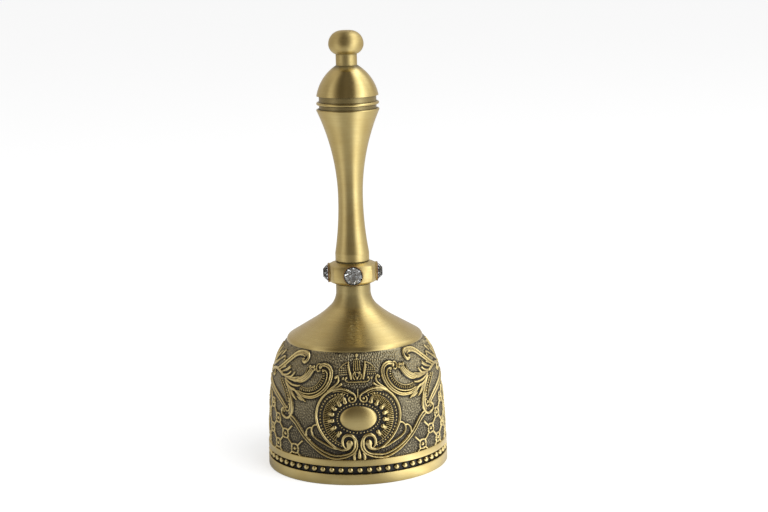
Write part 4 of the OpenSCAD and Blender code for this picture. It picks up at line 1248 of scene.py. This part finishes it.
# %% [markdown]
# ## Plain metals
# Solder, plated steel and bar brass have no pattern of their own, only the soft spots that plating,
# handling or tarnish leaves. One function makes them all, from a light and a dark tone.

# %% Plain metals
def plain_metal(name, light, dark, roughness, grain):
    """Metal with soft spots of a second tone, as plating or handling leaves them."""
    material, tree = new_tree(name)
    where = add_node(tree, "TexCoord")
    spots = add_node(tree, "TexNoise", {"Vector": where.outputs["Object"], "Scale": 1 / grain, "Detail": 4.0})
    tone = add_node(tree, "Mix", {0: spots, 6: linear(light), 7: linear(dark)}, data_type="RGBA")
    rough = add_node(tree, "MapRange", {"Value": spots, "From Min": 0.3, "From Max": 0.7,
                                        "To Min": roughness - 0.06, "To Max": roughness + 0.08})
    bump = add_node(tree, "Bump", {"Height": spots, "Strength": 0.2, "Distance": 0.02 * MM})
    shader = add_node(tree, "BsdfPrincipled", {"Base Color": tone, "Metallic": 1.0,
                                               "Roughness": rough, "Normal": bump})
    add_node(tree, "OutputMaterial", {"Surface": shader})
    return material


print("plain metals are ready")

# %% [markdown]
# ## The collar of the stones
# The collar is a turned barrel with sloping faces, a bore for the rod and four flats milled round it. Its
# edges were tumbled soft, so that the flats look like cushions. It starts as a turned outline. Every point
# that lies outside a flat moves in to it, and a soft minimum of the two radii rounds the edge between
# barrel and flat. The bulge runs from 0, truly flat, to 1, round like the barrel. The pillow is how far a
# flat falls back at its upper and lower edge. Each flat gets a low rim and a seat for a stone, drilled deep
# enough for the stone's point.

# %% The collar of the stones
COLLAR_LOW, COLLAR_TOP, COLLAR_R = 55.3, 62.3, 8.97                   # mm
FACE_R, FACE_DROP, COLLAR_ROUND = 4.8, 1.355, 1.6                     # mm
FLAT_OUT, SOFTNESS, PILLOW, BULGE = 7.45, 0.6, 0.35, 0.7              # mm, mm, mm, a share
BORE_R, POCKET_R, POCKET_FLOOR = 2.4, 2.75, 4.8                       # mm
RIM_R, RIM_OUT, RIM_LENGTH = 2.95, 7.52, 1.27                         # mm, the low rim round each seat
STONE_UP = (COLLAR_LOW + COLLAR_TOP) / 2
HALF_HEIGHT = (COLLAR_TOP - COLLAR_LOW) / 2
SLOPE_POINTS, SIDE_POINTS = (0.35, 0.45, 0.55, 0.65), (-0.6, 0.0, 0.6)   # extra points for the flats to move

slope = [(FACE_R + (COLLAR_R - FACE_R) * t, FACE_DROP * t) for t in SLOPE_POINTS]
barrel = rounded([(BORE_R, COLLAR_LOW), (FACE_R, COLLAR_LOW, 0.5)]
                 + [(r, COLLAR_LOW + drop) for r, drop in slope]
                 + [(COLLAR_R, COLLAR_LOW + FACE_DROP, COLLAR_ROUND)]
                 + [(COLLAR_R, STONE_UP + off) for off in SIDE_POINTS]
                 + [(COLLAR_R, COLLAR_TOP - FACE_DROP, COLLAR_ROUND)]
                 + [(r, COLLAR_TOP - drop) for r, drop in reversed(slope)]
                 + [(FACE_R, COLLAR_TOP, 0.5), (BORE_R, COLLAR_TOP)], arc_steps=8)
collar = turned("collar_cushion", barrel, steps=160)
print("barrel:", len(barrel), "points in its outline")

# %% Mill the flats
place = np.array([v.co for v in collar.data.vertices]) / MM
r, turn = np.hypot(place[:, 0], place[:, 1]), np.arctan2(place[:, 1], place[:, 0])
from_flat = (turn + math.pi / 4) % (math.pi / 2) - math.pi / 4
falls_back = PILLOW * ((place[:, 2] - STONE_UP) / HALF_HEIGHT) ** 2
flat_r = FLAT_OUT / np.cos(from_flat) ** (1 - BULGE) - falls_back
soft_r = -SOFTNESS * np.log(np.exp(-r / SOFTNESS) + np.exp(-flat_r / SOFTNESS))
place[:, :2] *= (soft_r / r)[:, None]
collar.data.vertices.foreach_set("co", (place * MM).ravel())
collar.data.update()
print("the flats lie up to %.2f mm inside the barrel" % (r - soft_r).max())


# %% Drill the seats
def all_round(radius, inner, outer, soft):
    """Four cylinders that lie across the axis, one towards each flat, with soft edges. Sizes are in mm."""
    bpy.ops.object.select_all(action="DESELECT")
    bpy.ops.mesh.primitive_cylinder_add(vertices=48, radius=radius * MM, depth=(outer - inner) * MM,
                                        location=(0, -(inner + outer) / 2 * MM, STONE_UP * MM),
                                        rotation=(math.pi / 2, 0, 0))
    made = bpy.context.object
    bpy.ops.object.transform_apply(location=True, rotation=True)
    edge = made.modifiers.new("soft_edges", "BEVEL")
    edge.width = soft * MM
    edge.segments = 2
    edge.limit_method = "ANGLE"
    bpy.ops.object.modifier_apply(modifier="soft_edges")
    bpy.ops.object.mode_set(mode="EDIT")
    copy_round(4)
    bpy.ops.mesh.select_all(action="SELECT")
    bpy.ops.mesh.normals_make_consistent(inside=False)
    bpy.ops.object.mode_set(mode="OBJECT")
    return made


for step, tool in (("UNION", all_round(RIM_R, RIM_OUT - RIM_LENGTH, RIM_OUT, 0.1)),
                   ("DIFFERENCE", all_round(POCKET_R, POCKET_FLOOR, RIM_OUT + 2, 0.02))):
    cut = collar.modifiers.new("seats", "BOOLEAN")
    cut.operation = step
    cut.object = tool
    bpy.ops.object.select_all(action="DESELECT")
    collar.select_set(True)
    bpy.context.view_layer.objects.active = collar
    bpy.ops.object.modifier_apply(modifier="seats")
    bpy.data.objects.remove(tool)
bpy.ops.object.shade_smooth_by_angle(angle=math.radians(28))
collar.data.materials.append(collar_brass)
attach(collar, "bell")
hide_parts("stone_collar")
print("collar:", len(collar.data.polygons), "faces")

# %% [markdown]
# ### The lines round the seats
# Round the low rim of each seat runs a thin reddish line of solder and bare copper, and inside the rim the
# bath left a dark line. Both are thin rings. The spin tool copies the front one to the other three sides.

# %% The lines round the seats
SOLDER_WIRE, SOLDER_OUT = 0.09, FLAT_OUT - 0.04                       # mm
DARK_WIRE, DARK_OUT, DARK_R = 0.14, RIM_OUT - 0.06, POCKET_R - 0.04   # mm
FINE_GRAIN = 0.4 * MM

solder = plain_metal("bare_copper_solder", "#c08b66", "#8f5d44", 0.35, FINE_GRAIN)
dark_seat = plain_metal("blackened_stone_seat", "#2b2723", "#171412", 0.5, FINE_GRAIN)
for name, ring_r, wire, out, metal in (("solder_lines", RIM_R, SOLDER_WIRE, SOLDER_OUT, solder),
                                       ("seat_lines", DARK_R, DARK_WIRE, DARK_OUT, dark_seat)):
    bpy.ops.object.select_all(action="DESELECT")
    bpy.ops.mesh.primitive_torus_add(major_segments=48, minor_segments=10, major_radius=ring_r * MM,
                                     minor_radius=wire * MM, location=(0, -out * MM, STONE_UP * MM),
                                     rotation=(math.pi / 2, 0, 0))
    rings = bpy.context.object
    bpy.ops.object.transform_apply(location=True, rotation=True)
    bpy.ops.object.mode_set(mode="EDIT")
    copy_round(4)
    bpy.ops.object.mode_set(mode="OBJECT")
    rings.name = name
    bpy.ops.object.shade_smooth()
    rings.data.materials.append(metal)
    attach(rings, "bell")
    print(name + ":", len(rings.data.polygons), "faces")

# %% [markdown]
# ## Cut-glass stones
# The stones are cut from lead glass, which bends light more than window glass, and silvered at the back
# like a mirror. The glass is clear, so one sees the mirror through it, broken up by the facets. Glass and
# silver are one closed piece with two materials, as the silver is only a coat.

# %% Glass and foil
LEAD_GLASS_IOR, FOIL_ROUGH = 1.6, 0.02
TARNISH = MM / 0.9                         # width of the duller patches in the silver, 1.1 mm
GLASS_TINT, FOIL_BRIGHT, FOIL_DULL = "#f7fafc", "#fafaf8", "#d9dcde"

cut_glass, tree = new_tree("cut_lead_glass")
glass = add_node(tree, "BsdfPrincipled", {"Base Color": linear(GLASS_TINT), "Roughness": 0.0,
                                          "IOR": LEAD_GLASS_IOR, "Transmission Weight": 1.0})
add_node(tree, "OutputMaterial", {"Surface": glass})
silver_foil, tree = new_tree("silver_foil_back")
where = add_node(tree, "TexCoord")
tarnish = add_node(tree, "TexNoise", {"Vector": where.outputs["Object"], "Scale": 1 / TARNISH,
                                      "Detail": 2.0})
tone = add_node(tree, "Mix", {0: tarnish, 6: linear(FOIL_BRIGHT), 7: linear(FOIL_DULL)}, data_type="RGBA")
foil = add_node(tree, "BsdfPrincipled", {"Base Color": tone, "Metallic": 1.0, "Roughness": FOIL_ROUGH})
add_node(tree, "OutputMaterial", {"Surface": foil})
print("stone materials:", cut_glass.name, "and", silver_foil.name)

# %% [markdown]
# ### Cutting the stones
# A stone is a round chaton: a flat table, two rows of facets down to the girdle, and a cone below. The
# silver stops short of the girdle, where the dark seat shows as a ring. The convex hull of the rings of
# corners and a point gives exactly flat facets, which a stack of loops would not.

# %% Cutting the stones
TABLE_R, MIDDLE_R, GIRDLE_R, FOIL_R = 1.25, 2.02, 2.68, 2.1          # mm
TABLE_OUT, MIDDLE_OUT, GIRDLE_OUT, FOIL_OUT, POINT_OUT = 9.0, 8.3, 7.45, 6.7, 4.95   # mm from the axis
GIRDLE_EDGE, TIP_R, TIP_LENGTH = 0.12, 0.4, 0.3                      # mm
RINGS = ((8, MIDDLE_R, MIDDLE_OUT), (16, GIRDLE_R, GIRDLE_OUT), (16, GIRDLE_R, GIRDLE_OUT - GIRDLE_EDGE),
         (8, FOIL_R, FOIL_OUT))                                      # corners, radius, and how far out


def cut_stone(name, turn):
    """A stone in its seat, turned round the bell's axis from the front."""
    bpy.ops.object.select_all(action="DESELECT")
    bpy.ops.mesh.primitive_circle_add(vertices=8, radius=TABLE_R * MM, location=(0, 0, TABLE_OUT * MM),
                                      rotation=(0, 0, math.pi / 8))
    stone = bpy.context.object
    bpy.ops.object.transform_apply(location=True, rotation=True)
    bpy.ops.object.mode_set(mode="EDIT")
    for corners, radius, out in RINGS:
        bpy.ops.mesh.primitive_circle_add(vertices=corners, radius=radius * MM, location=(0, 0, out * MM))
    bpy.ops.mesh.primitive_cone_add(vertices=8, radius1=TIP_R * MM, radius2=0, depth=TIP_LENGTH * MM,
                                    location=(0, 0, (POINT_OUT + TIP_LENGTH / 2) * MM),
                                    rotation=(math.pi, 0, 0))
    bpy.ops.mesh.select_all(action="SELECT")
    bpy.ops.mesh.convex_hull()
    bpy.ops.mesh.select_all(action="SELECT")
    bpy.ops.mesh.normals_make_consistent(inside=False)
    bpy.ops.object.mode_set(mode="OBJECT")
    bpy.ops.object.shade_flat()
    stone.data.transform(Matrix.Rotation(turn, 4, "Z") @ Matrix.Translation((0, 0, STONE_UP * MM))
                         @ Matrix.Rotation(math.pi / 2, 4, "X"))
    stone.name = name + "_cut"
    for material in (cut_glass, silver_foil, dark_seat):
        stone.data.materials.append(material)
    for face in stone.data.polygons:
        out = math.hypot(face.center.x, face.center.y) / MM
        face.material_index = 0 if out > GIRDLE_OUT - GIRDLE_EDGE - 0.01 else 2 if out > FOIL_OUT else 1
    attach(stone, "bell")
    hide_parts(name)
    return stone


stones = [cut_stone("stone_" + side, math.radians(90 * k))
          for k, side in enumerate(("front", "right", "back", "left"))]
print("stones:", len(stones), "with", len(stones[0].data.polygons), "faces each")

# %% [markdown]
# ## Plated steel and the clapper's brass
# Rod, nuts, washer, swivel eye and the clapper's shank are zinc-plated steel: a cool grey with a soft
# gloss. The clapper's ball is turned from bar brass and has no lacquer, so it is duller than the outside of
# the bell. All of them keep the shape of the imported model, which is as round and sharp as the real pieces,
# and get only their metal here.

# %% Plated steel and the clapper's brass
zinc = plain_metal("zinc_plated_steel", "#c9cccf", "#9a9da0", 0.34, 1.2 * MM)
bar_brass = plain_metal("turned_bar_brass", "#cdb26a", "#a98f4e", 0.3, 1.5 * MM)
for name in ("tie_rod", "clamp_washer", "clamp_nut", "swivel_nut", "swivel_eye", "clapper_shank"):
    give_material(name, zinc)
for name in ("clapper_ball", "clapper_tip"):
    give_material(name, bar_brass)
print("inner pieces:", zinc.name, "and", bar_brass.name)
